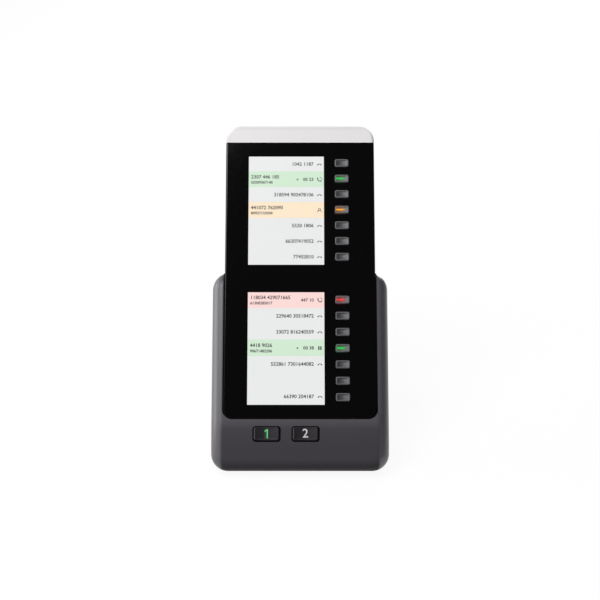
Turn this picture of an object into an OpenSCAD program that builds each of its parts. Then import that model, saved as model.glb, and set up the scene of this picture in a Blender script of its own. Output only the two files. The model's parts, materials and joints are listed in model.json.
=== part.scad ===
/* [Stance] */
// Angle between the display face and the desk, degrees
face_lean = 50; // [44:1:54]
// How far the rubber feet stand out below the housing
foot_rise = 1.2; // [0.8:0.1:2]

/* [Front shell] */
// Width of the shell's strip beside the panel
strip_w = 7.05; // [6.5:0.05:8]
// Top of the shell's shoulders, measured up the face
shell_top = 129.5; // [127:0.5:133]
// Lowest point of the chin, measured up the face
chin_low = 3.4; // [2:0.2:4]
// Wall of the shell and of the rear cover
shell_wall = 2.4; // [2:0.1:2.8]
// Radius of the shell's long rounded edges
shell_edge = 8; // [6.5:0.5:8.5]
// Radius of the shoulders seen from the front
shoulder_r = 9.5; // [8.8:0.1:11]
// Radius of the chin's corners seen from the front
chin_corner_r = 10.75; // [9:0.25:12]
// How far the chin turns down from the display face, degrees
chin_tilt = 13; // [10:1:15]
// Radius of the curve that turns the chin down
crown_r = 85; // [80:1:90]
// Depth at which the front shell meets the rear cover
part_depth = 20; // [19:0.5:21]
// Gap beside the display panel
well_gap = 0.8; // [0.5:0.1:1]
// Gap below the display panel
well_foot_gap = 0.3; // [0.2:0.1:0.5]
// Thickness of the wall round the panel's well
well_wall = 1.6; // [1.2:0.1:1.8]

/* [Display panel] */
// Lower edge of the panel, measured up the face
panel_low = 34.5; // [33:0.1:37]
// Border of the panel left of the windows
left_border = 14.75; // [13.5:0.05:16]
// Border of the panel right of the line keys
right_border = 16.6; // [15.5:0.1:18]
// Border of the panel below the lower window
low_border = 8.1; // [7.4:0.1:9]
// Border of the panel above the upper window
top_border = 9.3; // [8.5:0.1:10.2]
// Radius of the panel's two lower corners
panel_corner_r = 6; // [4.5:0.5:7]
// Thickness of the front lens
lens_t = 1.5; // [1.2:0.1:1.8]
// Radius of the lens's polished edge
lens_edge = 0.7; // [0.4:0.1:0.9]
// How far the lens stays inside the panel frame's outline
lens_inset = 0.3; // [0.2:0.1:0.5]
// Thickness of the adhesive under the lens
tape_t = 0.2; // [0.1:0.05:0.4]
// Thickness of the panel frame's front plate and walls
frame_t = 1.6; // [1.3:0.1:1.8]
// Depth of the panel frame's back edge
frame_depth = 10.2; // [10:0.1:11]

/* [Top cap] */
// Height of the top cap, measured up the face
cap_h = 11.8; // [11:0.1:13]
// Radius of the cap's corners seen from the front
cap_corner_r = 10; // [8:0.5:11]
// Radius of the cap's front edge
cap_edge = 1.8; // [1:0.1:2.5]
// Wall of the cap
cap_wall = 2; // [1.5:0.1:2.4]

/* [Displays] */
// Width of a display's window in the lens
window_w = 49.3; // [46:0.1:53]
// Height of a display's window in the lens
window_h = 74; // [70:0.1:78]
// Distance from one window to the other
window_gap = 17.9; // [16.8:0.1:19]
// Module beyond the window at each side
module_side_margin = 2.85; // [2.6:0.05:3.1]
// Module beyond the window at its outer end
module_far_margin = 2.5; // [2.2:0.1:2.8]
// Module beyond the window at the end with the flex cable
module_flex_margin = 4.5; // [4.2:0.1:4.8]
// Thickness of a display module
module_t = 3.2; // [3:0.1:3.5]
// Thickness of the foam gaskets
gasket_t = 0.5; // [0.4:0.1:0.8]
// Thickness of the steel chassis
chassis_t = 0.8; // [0.6:0.1:1]
// Width of a display's flex cable
flex_w = 16; // [12:0.5:18]
// Thickness of the flex cables
flex_t = 0.3; // [0.2:0.05:0.4]
// Bend radius of the flex cables, outside
flex_bend = 1.5; // [1:0.1:1.8]

/* [Line keys] */
// Width of a line key
key_w = 9.1; // [8.8:0.1:9.4]
// Height of a line key
key_h = 5.4; // [5:0.1:5.6]
// Corner radius of a line key
key_r = 1.1; // [0.8:0.1:1.4]
// Distance from the windows to the line keys
key_column_gap = 6.55; // [6.1:0.05:7.2]
// Line keys beside each display
keys_per_display = 7; // [7:1:7]
// How far a line key stands out of the lens
key_rise = 1.2; // [1:0.1:1.5]
// How far a line key can be pressed
key_travel = 1; // [0.8:0.1:1.1]
// Gap round a key in the lens
key_gap = 0.2; // [0.15:0.05:0.3]
// How far a key's flange reaches past its cap
flange_reach = 0.8; // [0.6:0.1:0.9]
// Thickness of a key's flange
flange_t = 0.8; // [0.6:0.1:1]
// Depth of the hollow in a line key's face
key_dish = 0.45; // [0.3:0.05:0.55]
// Length of the light bar's groove in a line key
bar_l = 5.4; // [4.5:0.1:6]
// Width of the light bar's groove
bar_w = 0.9; // [0.7:0.1:1.2]

/* [Page keys] */
// Width of a page key
page_w = 16; // [15.5:0.1:16.4]
// Height of a page key
page_h = 8.8; // [8.4:0.1:9]
// Corner radius of a page key
page_r = 1.5; // [1.2:0.1:1.8]
// Gap beside a page key
page_side_gap = 0.9; // [0.7:0.05:1]
// Gap above and below a page key
page_end_gap = 0.55; // [0.4:0.05:0.7]
// Distance from one page key to the other
page_pitch = 24.4; // [23:0.1:25.5]
// Distance from the panel down to the middle of the page keys
page_drop = 9.6; // [9.2:0.1:10.4]
// How far a page key stands out of the chin
page_rise = 0.5; // [0.3:0.1:0.8]
// How far a page key can be pressed
page_travel = 1; // [0.8:0.1:1.1]

/* [Boards] */
// Thickness of the circuit boards
board_t = 1.6; // [1.2:0.1:1.8]
// Space between the chassis and the main board
board_gap = 2; // [1.8:0.1:2.2]
// Gap between the panel frame's wall and the main board
board_side_gap = 2.55; // [2.2:0.05:2.9]
// Thickness of the silicone mats
mat_t = 0.8; // [0.6:0.1:1]
// Height of the lamps above the boards
lamp_t = 0.6; // [0.4:0.1:0.8]

/* [Rear cover] */
// Depth of the body at its thickest
body_depth = 40; // [38.5:0.5:42]
// Depth of the upper body behind the panel
head_depth = 24; // [23:0.5:25]
// Radius of the head's long back edges
head_edge = 6; // [4:0.5:7]
// How far the rear cover stays inside the front parts' outline
cover_inset = 0.5; // [0.3:0.1:0.8]
// Number of vent slots in a row
vent_count = 9; // [5:1:10]
// Width of a vent slot
vent_w = 2; // [1.6:0.1:2.4]
// Length of a vent slot
vent_l = 13; // [10:1:14]
// Distance between vent slots
vent_pitch = 5; // [4.5:0.1:5.4]
// Distance from the panel's top down to the middle of the vents
vent_drop = 31.8; // [29:0.1:35]

/* [Link ports] */
// Distance from the shell's side to the middle of a port
port_inset = 14; // [13.4:0.1:14.6]
// Distance from the chin's screws up to the middle of the ports
port_lift = 28; // [26.5:0.5:29.5]
// Width of a port's housing
port_w = 8; // [7.8:0.1:8.4]
// Length of a port's housing
port_l = 20; // [19:0.5:21]
// Wall of a port's housing
port_wall = 0.9; // [0.8:0.1:1.1]
// Depth of the plug space in a port
port_slot_depth = 6; // [5.5:0.1:6.4]
// Distance between the two screws beside a port
link_screw_span = 40; // [39:0.5:42]
// Radius of the thread in a brass insert
insert_bore_r = 1.25; // [1.1:0.05:1.4]
// Outer radius of a brass insert
insert_r = 2.1; // [1.9:0.1:2.4]
// Length of a brass insert
insert_l = 5; // [4:0.5:6]
// Depth of the recess round a port
port_recess = 1.2; // [1:0.1:1.4]

/* [Stand] */
// Width of the stand
stand_w = 70; // [64:1:72]
// Thickness of the stand's plates
stand_t = 3; // [2.6:0.1:3.4]
// Distance from the shell's top down to the stand's seat
stand_seat_drop = 17.5; // [16:0.5:19]
// Length of the stand's seat
stand_seat_l = 28; // [26:0.5:30]
// How far the stand's foot lies behind the top of its seat
stand_reach = 36; // [32:1:40]
// Length of the stand's foot along the desk
stand_foot_l = 16; // [14:1:18]
// Depth of the ribs along the stand's leg
stand_rib = 7; // [5:0.5:8]
// Width of the cord opening in the leg
stand_window_w = 34; // [24:1:40]

/* [Fasteners] */
// Radius of a case screw
case_screw_r = 1.2; // [1:0.05:1.3]
// Length of a case screw under its head
case_screw_l = 12; // [11:0.5:13]
// Radius of a board screw
board_screw_r = 0.9; // [0.8:0.05:1]
// Length of a board screw under its head
board_screw_l = 5.4; // [5:0.1:5.8]
// Space round a screw in a through hole
screw_gap = 0.2; // [0.1:0.05:0.3]

/* [Hidden] */
$fn = 48;
// gap that keeps neighbouring parts from rubbing
fit_gap = 0.3;
// gap at the seam between the two back covers
seam_gap = 0.1;
// overlap that joins shapes of one part, and overshoot of a cut
weld = 0.2;
// space round a thread or an insert in its hole
thread_gap = 0.05;
// the chin's end lies this much inside the curve before it, so that the two join cleanly
seam = 0.03;

// outlines seen from the front
panel_w = left_border + window_w + key_column_gap + key_w + right_border;
panel_top = panel_low + low_border + 2 * window_h + window_gap + top_border;
cap_top = panel_top + cap_h;
shell_w = panel_w + 2 * (well_gap + strip_w);
// longer than anything that is cut
far = 3 * shell_w;

// depths, counted backwards from the lens's face
frame_front = lens_t + tape_t;
frame_back = frame_front + frame_t;
module_front = lens_t + gasket_t;
module_back = module_front + module_t;
chassis_back = module_back + chassis_t;
board_front = chassis_back + board_gap;
board_back = board_front + board_t;
mat_front = board_front - mat_t;
flange_front = frame_back + key_gap;
flange_back = flange_front + flange_t;
body_half = shell_w / 2;
panel_half = panel_w / 2;
cover_half = body_half - cover_inset;
head_half = panel_half - cover_inset;
cover_inner = body_depth - shell_wall;
head_inner = head_depth - shell_wall;

// the well that takes the panel
well_half = panel_half + well_gap;
well_low = panel_low - well_foot_gap;
well_r = panel_corner_r + well_foot_gap;

// the chin: a curve of crown_r from the panel down to the tilt, then straight
chin_start = panel_low;
crown_end_v = chin_start - crown_r * sin(chin_tilt);
crown_end_depth = crown_r * (1 - cos(chin_tilt));
roll_r = shell_edge - seam;
chin_l = roll_r + (crown_end_v - chin_low - roll_r + shell_edge * sin(chin_tilt)) / cos(chin_tilt);
roll_v = crown_end_v - (chin_l - roll_r) * cos(chin_tilt) + shell_edge * sin(chin_tilt);
roll_depth = crown_end_depth + (chin_l - roll_r) * sin(chin_tilt) + shell_edge * cos(chin_tilt);

// the underside starts a little behind the chin's roll and lies along the desk
heel = 4;
heel_v = roll_v - roll_r * cos(chin_tilt) + heel * sin(chin_tilt);
heel_depth = roll_depth + roll_r * sin(chin_tilt) + heel * cos(chin_tilt);
base_z = foot_rise - heel_v * sin(face_lean) + heel_depth * cos(face_lean);
front_y = roll_v * cos(face_lean) + roll_depth * sin(face_lean) - roll_r;
back_y = (cap_top - head_edge) * cos(face_lean) + (head_depth - head_edge) * sin(face_lean) + head_edge;
base_y = -(front_y + back_y) / 2;

// windows and display modules
window_x = left_border + (window_w - panel_w) / 2;
lower_window_v = panel_low + low_border + window_h / 2;
upper_window_v = lower_window_v + window_h + window_gap;
module_w = window_w + 2 * module_side_margin;
module_h = window_h + module_far_margin + module_flex_margin;
upper_low = upper_window_v - window_h / 2 - module_flex_margin;
lower_top = lower_window_v + window_h / 2 + module_flex_margin;
module_mid_upper = upper_low + module_h / 2;
module_mid_lower = lower_top - module_h / 2;
connector_t = 2;
connector_l = 3;
// openings in the chassis behind the displays
relief_w = window_w - 14;
relief_h = window_h - 22;
relief_r = 3;

// line keys, counted from the top
key_count = 2 * keys_per_display;
key_pitch = window_h / keys_per_display;
key_x = window_x + (window_w + key_w) / 2 + key_column_gap;
function key_row(n) = (keys_per_display + 1) / 2 - (n > keys_per_display ? n - keys_per_display : n);
function key_v(n) = (n > keys_per_display ? lower_window_v : upper_window_v) + key_row(n) * key_pitch;
hole_w = key_w + 2 * key_gap;
hole_h = key_h + 2 * key_gap;
dome_r = 2.5;
dome_tip_r = 1.8;
dome_x = 1.4;
lamp_x = -3;
lamp_size = [1.6, 0.8, lamp_t];
bar_edge = 1;
bar_deep = 0.3;
dish_half = key_w / 2 - 0.5;
dish_r = (dish_half * dish_half + key_dish * key_dish) / (2 * key_dish);
mat_half = key_w / 2 + 1.4;
// legs under a key's flange that stop it on the mat at the end of its travel
stop_gap = 0.05;
leg_t = 0.8;
leg_l = 2.4;
leg_x = key_w / 2 + flange_reach - leg_t / 2;
mat_low = key_v(key_count) - key_pitch / 2;
mat_top = key_v(1) + key_pitch / 2;

// page keys
page_v = panel_low - page_drop;
page_xs = [window_x - page_pitch / 2, window_x + page_pitch / 2];
page_flange_reach = 1.6;
page_crown = (chin_start - page_v + page_h / 2 + page_flange_reach);
page_flange_front = shell_wall + page_crown * page_crown / (2 * crown_r) + 0.6;
page_flange_back = page_flange_front + flange_t;
page_dome_x = 5;
page_board_beyond = 7;
page_board_above = 6.6;
page_board_below = 9;
page_board_half = (page_pitch + page_w) / 2 + page_board_beyond;
page_board_low = page_v - page_board_below;
page_board_top = page_v + page_board_above;
page_post_x = page_board_half - 3;
page_mat_half = (page_pitch + page_w) / 2 + 0.6;
page_leg_x = page_w / 2;

// main board and its screws
board_end_gap = 3;
board_w = panel_w - 2 * (frame_t + board_side_gap);
board_low = panel_low + frame_t + board_end_gap;
board_top = panel_top - frame_t - board_end_gap;
board_screw_x = board_w / 2 - 5;
board_screw_vs = [board_low + 8, lower_window_v + 20, board_top - 22];
boss_r = 3;
board_boss_r = 2.2;

// chips on the main board: across the face, width, height, thickness
chips = [[-30, 6, 6, 1], [-10, 14, 14, 1.4], [12, 9, 12, 1.1]];
chip_v = upper_window_v - 21;
power_x = -25;
coil_v = lower_window_v + 16;
coil_count = 4;
coil_side = 6;
coil_t = 3;
coil_pitch = 9;
can_v = upper_window_v + 7;
can_count = 6;
can_r = 2.5;
can_h = 5;
can_pitch = 8;

notch_gap = 0.6;
case_x = panel_half - 7.15;
case_low_v = panel_low - 6.5;
case_mid_v = shell_top - 11.5;
case_top_v = panel_top - 12.8;
// positions of the case screws: across, up the face, depth at which the joined parts meet
ear_t = 2;
head_meet = 14;
case_spots = [
    [case_x, case_low_v, part_depth],
    [case_x, case_mid_v, part_depth],
    [case_x, case_top_v, head_meet]
];
floor_t = 3;
case_head_r = 2.3;
case_head_t = 2;
sink_r = 2.7;
post_r = sink_r + 1.3;

// ports
port_x = body_half - port_inset;
port_v = case_low_v + port_lift;
port_back = body_depth - port_recess;
port_front = port_back - port_slot_depth - 1.4;
port_board_front = port_front - board_t;
port_board_half = port_x + port_w / 2 + 4;
port_post_x = port_x - 11;
port_post_span = 16;
recess_w = port_w + 5;
recess_l = port_l + 6;
ribbon_w = 20;
ribbon_t = 0.9;
plug_gap = 0.3;

// stand
stand_pad_t = foot_rise;
stand_pad_w = 14;
stand_pad_l = stand_foot_l - 2;
tab_x = 24;
tab_w = 10;
tab_t = 2.2;
hook_t = 1.5;
tab_in = shell_wall + 0.4;

// rear cover
tub_low = heel_v + (part_depth - heel_depth) * tan(chin_tilt) + cover_inset;
tub_mid = (tub_low + shell_top) / 2;
head_low = shell_top - 4;
clip_x = 28;
clip_w = 12;
clip_t = 1.6;
clip_l = 4;
clip_depth = head_depth / 2;
ear_r = 5;

// plugs of the cables inside
page_flex_w = 10;
flex_slot_w = page_flex_w + 6;
page_plug_l = 4;
page_plug_t = frame_depth - board_back + 1.2;
page_plug_v = page_board_top - page_plug_l / 2 - 0.5;
board_plug_v = board_low + page_plug_l / 2 + 2;
ribbon_plug_t = 3;
port_slot_l = port_l - 5;
board_head_r = 1.6;
board_head_t = 1.3;

// feet under the chin
foot_x = body_half - 18;
foot_size = [18, 9];
foot_setback = 17;
stand_seat_top = shell_top - stand_seat_drop;
stand_seat_low = stand_seat_top - stand_seat_l;
stand_tab_vs = [stand_seat_low + 4, stand_seat_top - 6];

// ---- placing ----

// children are drawn flat: x across, y up the face, z out of the face
module on_face() {
    translate([0, base_y, base_z]) rotate([face_lean, 0, 0]) children();
}

// children are drawn from a depth behind the lens's face towards the front
module at_depth(depth) {
    translate([0, 0, -depth]) children();
}

// children are drawn on the right and repeated on the left
module both_sides() {
    children();
    mirror([1, 0, 0]) children();
}

// ---- outlines ----

// rectangle about the origin with round corners
module round_rect(w, h, r) {
    square([w, h - 2 * r], center = true);
    square([w - 2 * r, h], center = true);
    for (x = [-1, 1], y = [-1, 1]) {
        translate([x * (w / 2 - r), y * (h / 2 - r)]) circle(r);
    }
}

// panel outline: round below, square above
module panel_outline(half, low, top, r) {
    translate([-half, low + r]) square([2 * half, top - low - r]);
    translate([r - half, low]) square([2 * (half - r), r + weld]);
    for (x = [-1, 1]) {
        translate([x * (half - r), low + r]) circle(r);
    }
}

// section through a slab from its middle out, with a rounded front and back edge
module edge_profile(reach, depth, front, back) {
    translate([0, back - depth]) square([reach, depth - front - back]);
    if (front > 0) {
        translate([0, -front]) square([reach - front, front]);
        translate([reach - front, -front]) circle(front);
    }
    if (back > 0) {
        translate([0, -depth]) square([reach - back, back]);
        translate([reach - back, back - depth]) circle(back);
    }
}

// the same section to both sides
module slab_section(half, depth, front, back) {
    edge_profile(half, depth, front, back);
    mirror([1, 0]) edge_profile(half, depth, front, back);
}

// ---- rounded bodies ----

// straight stretch of a slab, from low to top
module slab_run(half, depth, front, back, low, top) {
    translate([0, top, 0]) rotate([90, 0, 0]) linear_extrude(top - low)
        slab_section(half, depth, front, back);
}

// one end of a slab, with round corners and the edges carried round them; it ends at y = -length
module slab_end(half, length, depth, corner, front, back) {
    flat = half - corner;
    if (length > corner) {
        slab_run(half, depth, front, back, corner - length, 0);
    }
    translate([flat, corner - length, 0])
        rotate([90, 0, -90]) linear_extrude(2 * flat) edge_profile(corner, depth, front, back);
    translate([flat, corner - length, 0])
        rotate([0, 0, -90]) rotate_extrude(angle = 90) edge_profile_half(corner, depth, front, back);
    translate([-flat, corner - length, 0])
        rotate([0, 0, 180]) rotate_extrude(angle = 90) edge_profile_half(corner, depth, front, back);
}

// edge profile that stays on one side of the turning axis
module edge_profile_half(reach, depth, front, back) {
    intersection() {
        edge_profile(reach, depth, front, back);
        translate([0, -depth]) square([reach, depth]);
    }
}

// slab with four round corners about the origin
module soft_tile(w, h, depth, corner, front) {
    slab_end(w / 2, h / 2, depth, corner, front, 0);
    rotate([0, 0, 180]) slab_end(w / 2, h / 2, depth, corner, front, 0);
}

// the shell's outer form, or with an inset the form that hollows it
module shell_form(inset) {
    half = body_half - inset;
    edge = shell_edge - inset;
    deep = part_depth + 8 - inset;
    shoulder = shoulder_r - inset;
    top = shell_top - inset;
    at_depth(inset) {
        slab_run(half, deep, edge, 0, chin_start, top - shoulder);
        translate([0, top - shoulder, 0])
            rotate([0, 0, 180]) slab_end(half, shoulder, deep, shoulder, edge, 0);
        translate([0, chin_start, inset - crown_r]) rotate([180, -90, 0])
            rotate_extrude(angle = chin_tilt) translate([crown_r - inset, 0])
                mirror([1, -1]) slab_section(half, deep, edge, 0);
        translate([0, chin_start, inset - crown_r]) rotate([chin_tilt, 0, 0])
            translate([0, 2 * weld, crown_r - inset - seam])
                slab_end(half - seam, chin_l - inset + 2 * weld, deep, chin_corner_r - inset, edge - seam, 0);
    }
}

// everything above the underside, raised by rise from it
module above_base(rise) {
    translate([0, heel_v, -heel_depth]) rotate([-face_lean, 0, 0])
        translate([-far, -far, rise]) cube([2 * far, 2 * far, 2 * far]);
}

// lower part of the rear cover, from the parting plane back
module tub_form(inset, start) {
    half = cover_half - inset;
    deep = body_depth - inset - start;
    edge = shell_edge - inset;
    low = tub_low + inset;
    top = shell_top - cover_inset - inset;
    at_depth(start) translate([0, tub_mid, 0]) {
        slab_end(half, tub_mid - low, deep, chin_corner_r - inset, 0, edge);
        rotate([0, 0, 180]) slab_end(half, top - tub_mid, deep, shoulder_r - inset, 0, edge);
    }
}

// ---- holes and posts ----

// round column between two depths; the second is nearer to the front
module column(x, v, r, deep, shallow) {
    translate([x, v, -deep]) cylinder(r = r, h = deep - shallow);
}

// block between two depths, centred on x and v
module block(x, v, w, h, deep, shallow) {
    translate([x - w / 2, v - h / 2, -deep]) cube([w, h, deep - shallow]);
}

module slot_outline(w, l) {
    square([w, l - w], center = true);
    for (y = [-1, 1]) {
        translate([0, y * (l - w) / 2]) circle(w / 2);
    }
}

module key_openings(w, h, r, deep) {
    for (n = [1:key_count]) {
        translate([key_x, key_v(n), -deep]) linear_extrude(deep + weld) round_rect(w, h, r);
    }
}

module well_prism(wall) {
    at_depth(part_depth + weld) linear_extrude(part_depth + 2 * weld)
        panel_outline(well_half + wall, well_low - wall, shell_top + 5, well_r + wall);
}

module case_screw_sites(first, last) {
    for (i = [first:last], side = [-1, 1]) {
        spot = case_spots[i];
        translate([side * spot[0], spot[1], -spot[2]]) children();
    }
}

module board_screw_sites() {
    for (v = board_screw_vs, side = [-1, 1]) {
        translate([side * board_screw_x, v, 0]) children();
    }
}

module page_post_sites() {
    for (side = [-1, 1]) {
        translate([window_x + side * page_post_x, page_v, 0]) children();
    }
}

module port_post_sites() {
    for (x = [-1, 1], y = [-1, 1]) {
        translate([x * port_post_x, port_v + y * port_post_span / 2, 0]) children();
    }
}

module link_screw_sites() {
    for (x = [-1, 1], y = [-1, 1]) {
        translate([x * port_x, port_v + y * link_screw_span / 2, 0]) children();
    }
}

// ---- housing ----

module front_shell() {
    color([0.27, 0.27, 0.28]) on_face() {
        difference() {
            intersection() {
                shell_form(0);
                translate([-far, 0, -part_depth]) cube([2 * far, far, part_depth + weld]);
                above_base(0);
            }
            difference() {
                shell_form(shell_wall);
                well_prism(well_wall);
            }
            well_prism(0);
            for (x = page_xs) {
                translate([x, page_v, -shell_edge]) linear_extrude(2 * shell_edge)
                    round_rect(page_w + 2 * page_side_gap, page_h + 2 * page_end_gap, page_r + page_end_gap);
            }
            block(window_x, well_low, flex_slot_w, 4 * well_wall, part_depth + weld, frame_depth - 1);
        }
        // posts for the two chin screws
        case_screw_sites(0, 0) difference() {
            cylinder(r = boss_r, h = part_depth - shell_wall + weld);
            translate([0, 0, -weld])
                cylinder(r = case_screw_r + thread_gap, h = case_screw_l - floor_t + 2 * weld);
        }
        // ears that the shoulder screws clamp
        case_screw_sites(1, 1) ear();
        page_post_sites() difference() {
            column(0, 0, board_boss_r, board_front, shell_wall - weld);
            column(0, 0, board_screw_r + thread_gap, board_front + weld, board_back - board_screw_l - weld);
        }
    }
}

module ear() {
    reach = well_half - case_x + well_wall / 2;
    difference() {
        linear_extrude(ear_t) {
            circle(ear_r);
            translate([-reach, -ear_r]) square([2 * reach, 2 * ear_r]);
        }
        translate([0, 0, -weld]) cylinder(r = case_screw_r + screw_gap, h = ear_t + 2 * weld);
    }
}

module rear_cover() {
    color([0.2, 0.2, 0.21]) on_face() {
        difference() {
            intersection() {
                tub_form(0, part_depth);
                above_base(0);
            }
            intersection() {
                tub_form(shell_wall, part_depth - weld);
                above_base(shell_wall);
            }
            head_form(-seam_gap, frame_depth, head_low - seam_gap, panel_top);
            case_screw_sites(0, 1) sink(body_depth - part_depth);
            port_openings();
            link_screw_sites() column(0, 0, insert_r + thread_gap, body_depth + weld, cover_inner - weld);
            stand_slots();
        }
        case_screw_sites(0, 1) post(cover_inner + weld - part_depth);
        link_screw_sites() difference() {
            column(0, 0, insert_r + 1.9, cover_inner + weld, body_depth - insert_l - 1);
            column(0, 0, insert_r + thread_gap, body_depth, body_depth - insert_l);
        }
        port_post_sites() difference() {
            column(0, 0, board_boss_r, cover_inner + weld, port_front);
            column(0, 0, board_screw_r + thread_gap,
                port_board_front + board_screw_l + weld, port_front - weld);
        }
    }
}

// cover behind the upper panel; its lower end passes through the rear cover's top wall
module head_cover() {
    color([0.2, 0.2, 0.21]) on_face() {
        difference() {
            head_form(0, frame_depth, head_low, panel_top);
            head_form(shell_wall, frame_depth - weld, head_low - weld, panel_top - shell_wall);
            case_screw_sites(2, 2) sink(head_depth - head_meet);
            for (i = [0:vent_count - 1]) {
                vent_x = (i - (vent_count - 1) / 2) * vent_pitch;
                translate([vent_x, panel_top - vent_drop, -head_depth - weld])
                    linear_extrude(shell_wall + 2 * weld) slot_outline(vent_w, vent_l);
            }
            for (x = [-1, 1]) {
                block(x * clip_x, panel_top, clip_w + 2 * fit_gap, 4 * shell_wall,
                    clip_depth + clip_t + fit_gap, clip_depth - fit_gap);
            }
        }
        case_screw_sites(2, 2) post(head_inner + weld - head_meet);
    }
}

// the head's outer form, or with an inset the form that hollows it
module head_form(inset, start, low, top) {
    at_depth(start)
        slab_run(head_half - inset, head_depth - inset - start, 0, head_edge - inset, low, top);
}

// counterbore and through hole of a case screw, from the plane where the parts meet
module sink(deep) {
    translate([0, 0, -deep - weld]) cylinder(r = sink_r, h = deep + weld - floor_t);
}

module post(length) {
    difference() {
        translate([0, 0, -length]) cylinder(r = post_r, h = length);
        translate([0, 0, -length - weld]) cylinder(r = sink_r, h = length + weld - floor_t);
        translate([0, 0, -length]) cylinder(r = case_screw_r + screw_gap, h = length + weld);
    }
}

module port_openings() {
    for (x = [-1, 1]) {
        block(x * port_x, port_v, port_w + 2 * fit_gap, port_l + 2 * fit_gap,
            body_depth + weld, cover_inner - weld);
        block(x * port_x, port_v, recess_w, recess_l, body_depth + weld, port_back);
    }
}

module stand_slots() {
    for (x = [-1, 1], v = stand_tab_vs) {
        translate([x * tab_x - tab_w / 2 - fit_gap, v - hook_t - fit_gap, -body_depth - weld])
            cube([tab_w + 2 * fit_gap, tab_t + hook_t + 2 * fit_gap, shell_wall + 2 * weld]);
    }
}

module top_cap() {
    color([0.87, 0.87, 0.88]) on_face() {
        difference() {
            cap_form(0, cap_edge);
            at_depth(cap_wall) cap_form(cap_wall, 0);
        }
        for (x = [-1, 1]) {
            translate([x * clip_x - clip_w / 2, panel_top - clip_l, -clip_depth - clip_t])
                cube([clip_w, cap_top - cap_wall + weld - panel_top + clip_l, clip_t]);
        }
    }
}

module cap_form(inset, front) {
    low = inset > 0 ? weld : 0;
    translate([0, panel_top - low, 0]) rotate([0, 0, 180])
        slab_end(panel_half - inset, cap_top - panel_top + low - inset, head_depth - 2 * inset,
            cap_corner_r - inset, front, head_edge - inset);
}

// ---- display panel ----

module panel_frame() {
    color([0.06, 0.06, 0.07]) on_face() {
        difference() {
            at_depth(frame_depth) linear_extrude(frame_depth - frame_front)
                panel_outline(panel_half, panel_low, panel_top, panel_corner_r);
            at_depth(frame_depth + weld) linear_extrude(frame_depth + weld - frame_back)
                panel_outline(panel_half - frame_t, panel_low + frame_t, panel_top - frame_t,
                    panel_corner_r - frame_t);
            for (v = [module_mid_upper, module_mid_lower]) {
                block(window_x, v, module_w + 2 * fit_gap, module_h + 2 * fit_gap,
                    frame_depth, frame_front - weld);
            }
            key_openings(hole_w, hole_h, key_r + key_gap, frame_back + weld);
        }
        for (spot = [[1, ear_t], [2, 0]]) {
            case_screw_sites(spot[0], spot[0]) frame_post(case_spots[spot[0]][2], spot[1]);
        }
        board_screw_sites() difference() {
            column(0, 0, board_boss_r, module_back, frame_back - weld);
            column(0, 0, board_screw_r + thread_gap, module_back + weld, board_back - board_screw_l - weld);
        }
    }
}

// post that takes a case screw; it ends ear above the meeting plane
module frame_post(meet, ear) {
    difference() {
        translate([0, 0, ear]) cylinder(r = boss_r, h = meet - ear - frame_back + weld);
        translate([0, 0, ear - weld])
            cylinder(r = case_screw_r + thread_gap, h = case_screw_l - floor_t - ear + 2 * weld);
    }
}

module lens_tape() {
    inset = lens_inset + 0.4;
    color([0.1, 0.1, 0.1]) on_face() at_depth(frame_front) linear_extrude(tape_t) difference() {
        panel_outline(panel_half - inset, panel_low + inset, panel_top - inset, panel_corner_r - inset);
        for (v = [module_mid_upper, module_mid_lower]) {
            translate([window_x, v]) square([module_w + 1, module_h + 1], center = true);
        }
        translate([key_x - mat_half, mat_low]) square([2 * mat_half, mat_top - mat_low]);
    }
}

module front_lens() {
    lens_l = panel_top - panel_low - lens_inset;
    color([0.02, 0.02, 0.03]) on_face() difference() {
        translate([0, panel_top, 0])
            slab_end(panel_half - lens_inset, lens_l, lens_t, panel_corner_r - lens_inset, lens_edge, 0);
        key_openings(hole_w, hole_h, key_r + key_gap, lens_t + weld);
    }
}

module gasket(window_v, mid_v) {
    color([0.12, 0.12, 0.12]) on_face() at_depth(module_front) linear_extrude(gasket_t) difference() {
        translate([window_x, mid_v]) square([module_w - 2.4, module_h - 2.4], center = true);
        translate([window_x, window_v]) square([window_w + 1, window_h + 1], center = true);
    }
}

module display(mid_v) {
    glass_t = 0.6;
    color([0.9, 0.91, 0.92]) on_face() {
        block(window_x, mid_v, module_w, module_h, module_back, module_front + glass_t);
        block(window_x, mid_v, module_w - 1.6, module_h - 1.6, module_back, module_front);
    }
}

// flex cable from a display's end face, over a bend and down to its connector
module display_flex(end_v, way) {
    top = module_front + 1.4;
    turn = top + flex_bend;
    color([0.8, 0.5, 0.15]) on_face() translate([window_x, end_v, 0]) rotate([90, 0, 90])
        linear_extrude(flex_w, center = true) mirror([way < 0 ? 1 : 0, 0]) {
            difference() {
                translate([0, -turn]) circle(flex_bend);
                translate([0, -turn]) circle(flex_bend - flex_t);
                translate([-2 * flex_bend, -turn - 2 * flex_bend]) square([2 * flex_bend, 4 * flex_bend]);
                translate([-weld, -turn - 2 * flex_bend]) square([3 * flex_bend, 2 * flex_bend]);
            }
            translate([flex_bend - flex_t, connector_t - board_front])
                square([flex_t, board_front - connector_t - turn]);
        }
}

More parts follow.
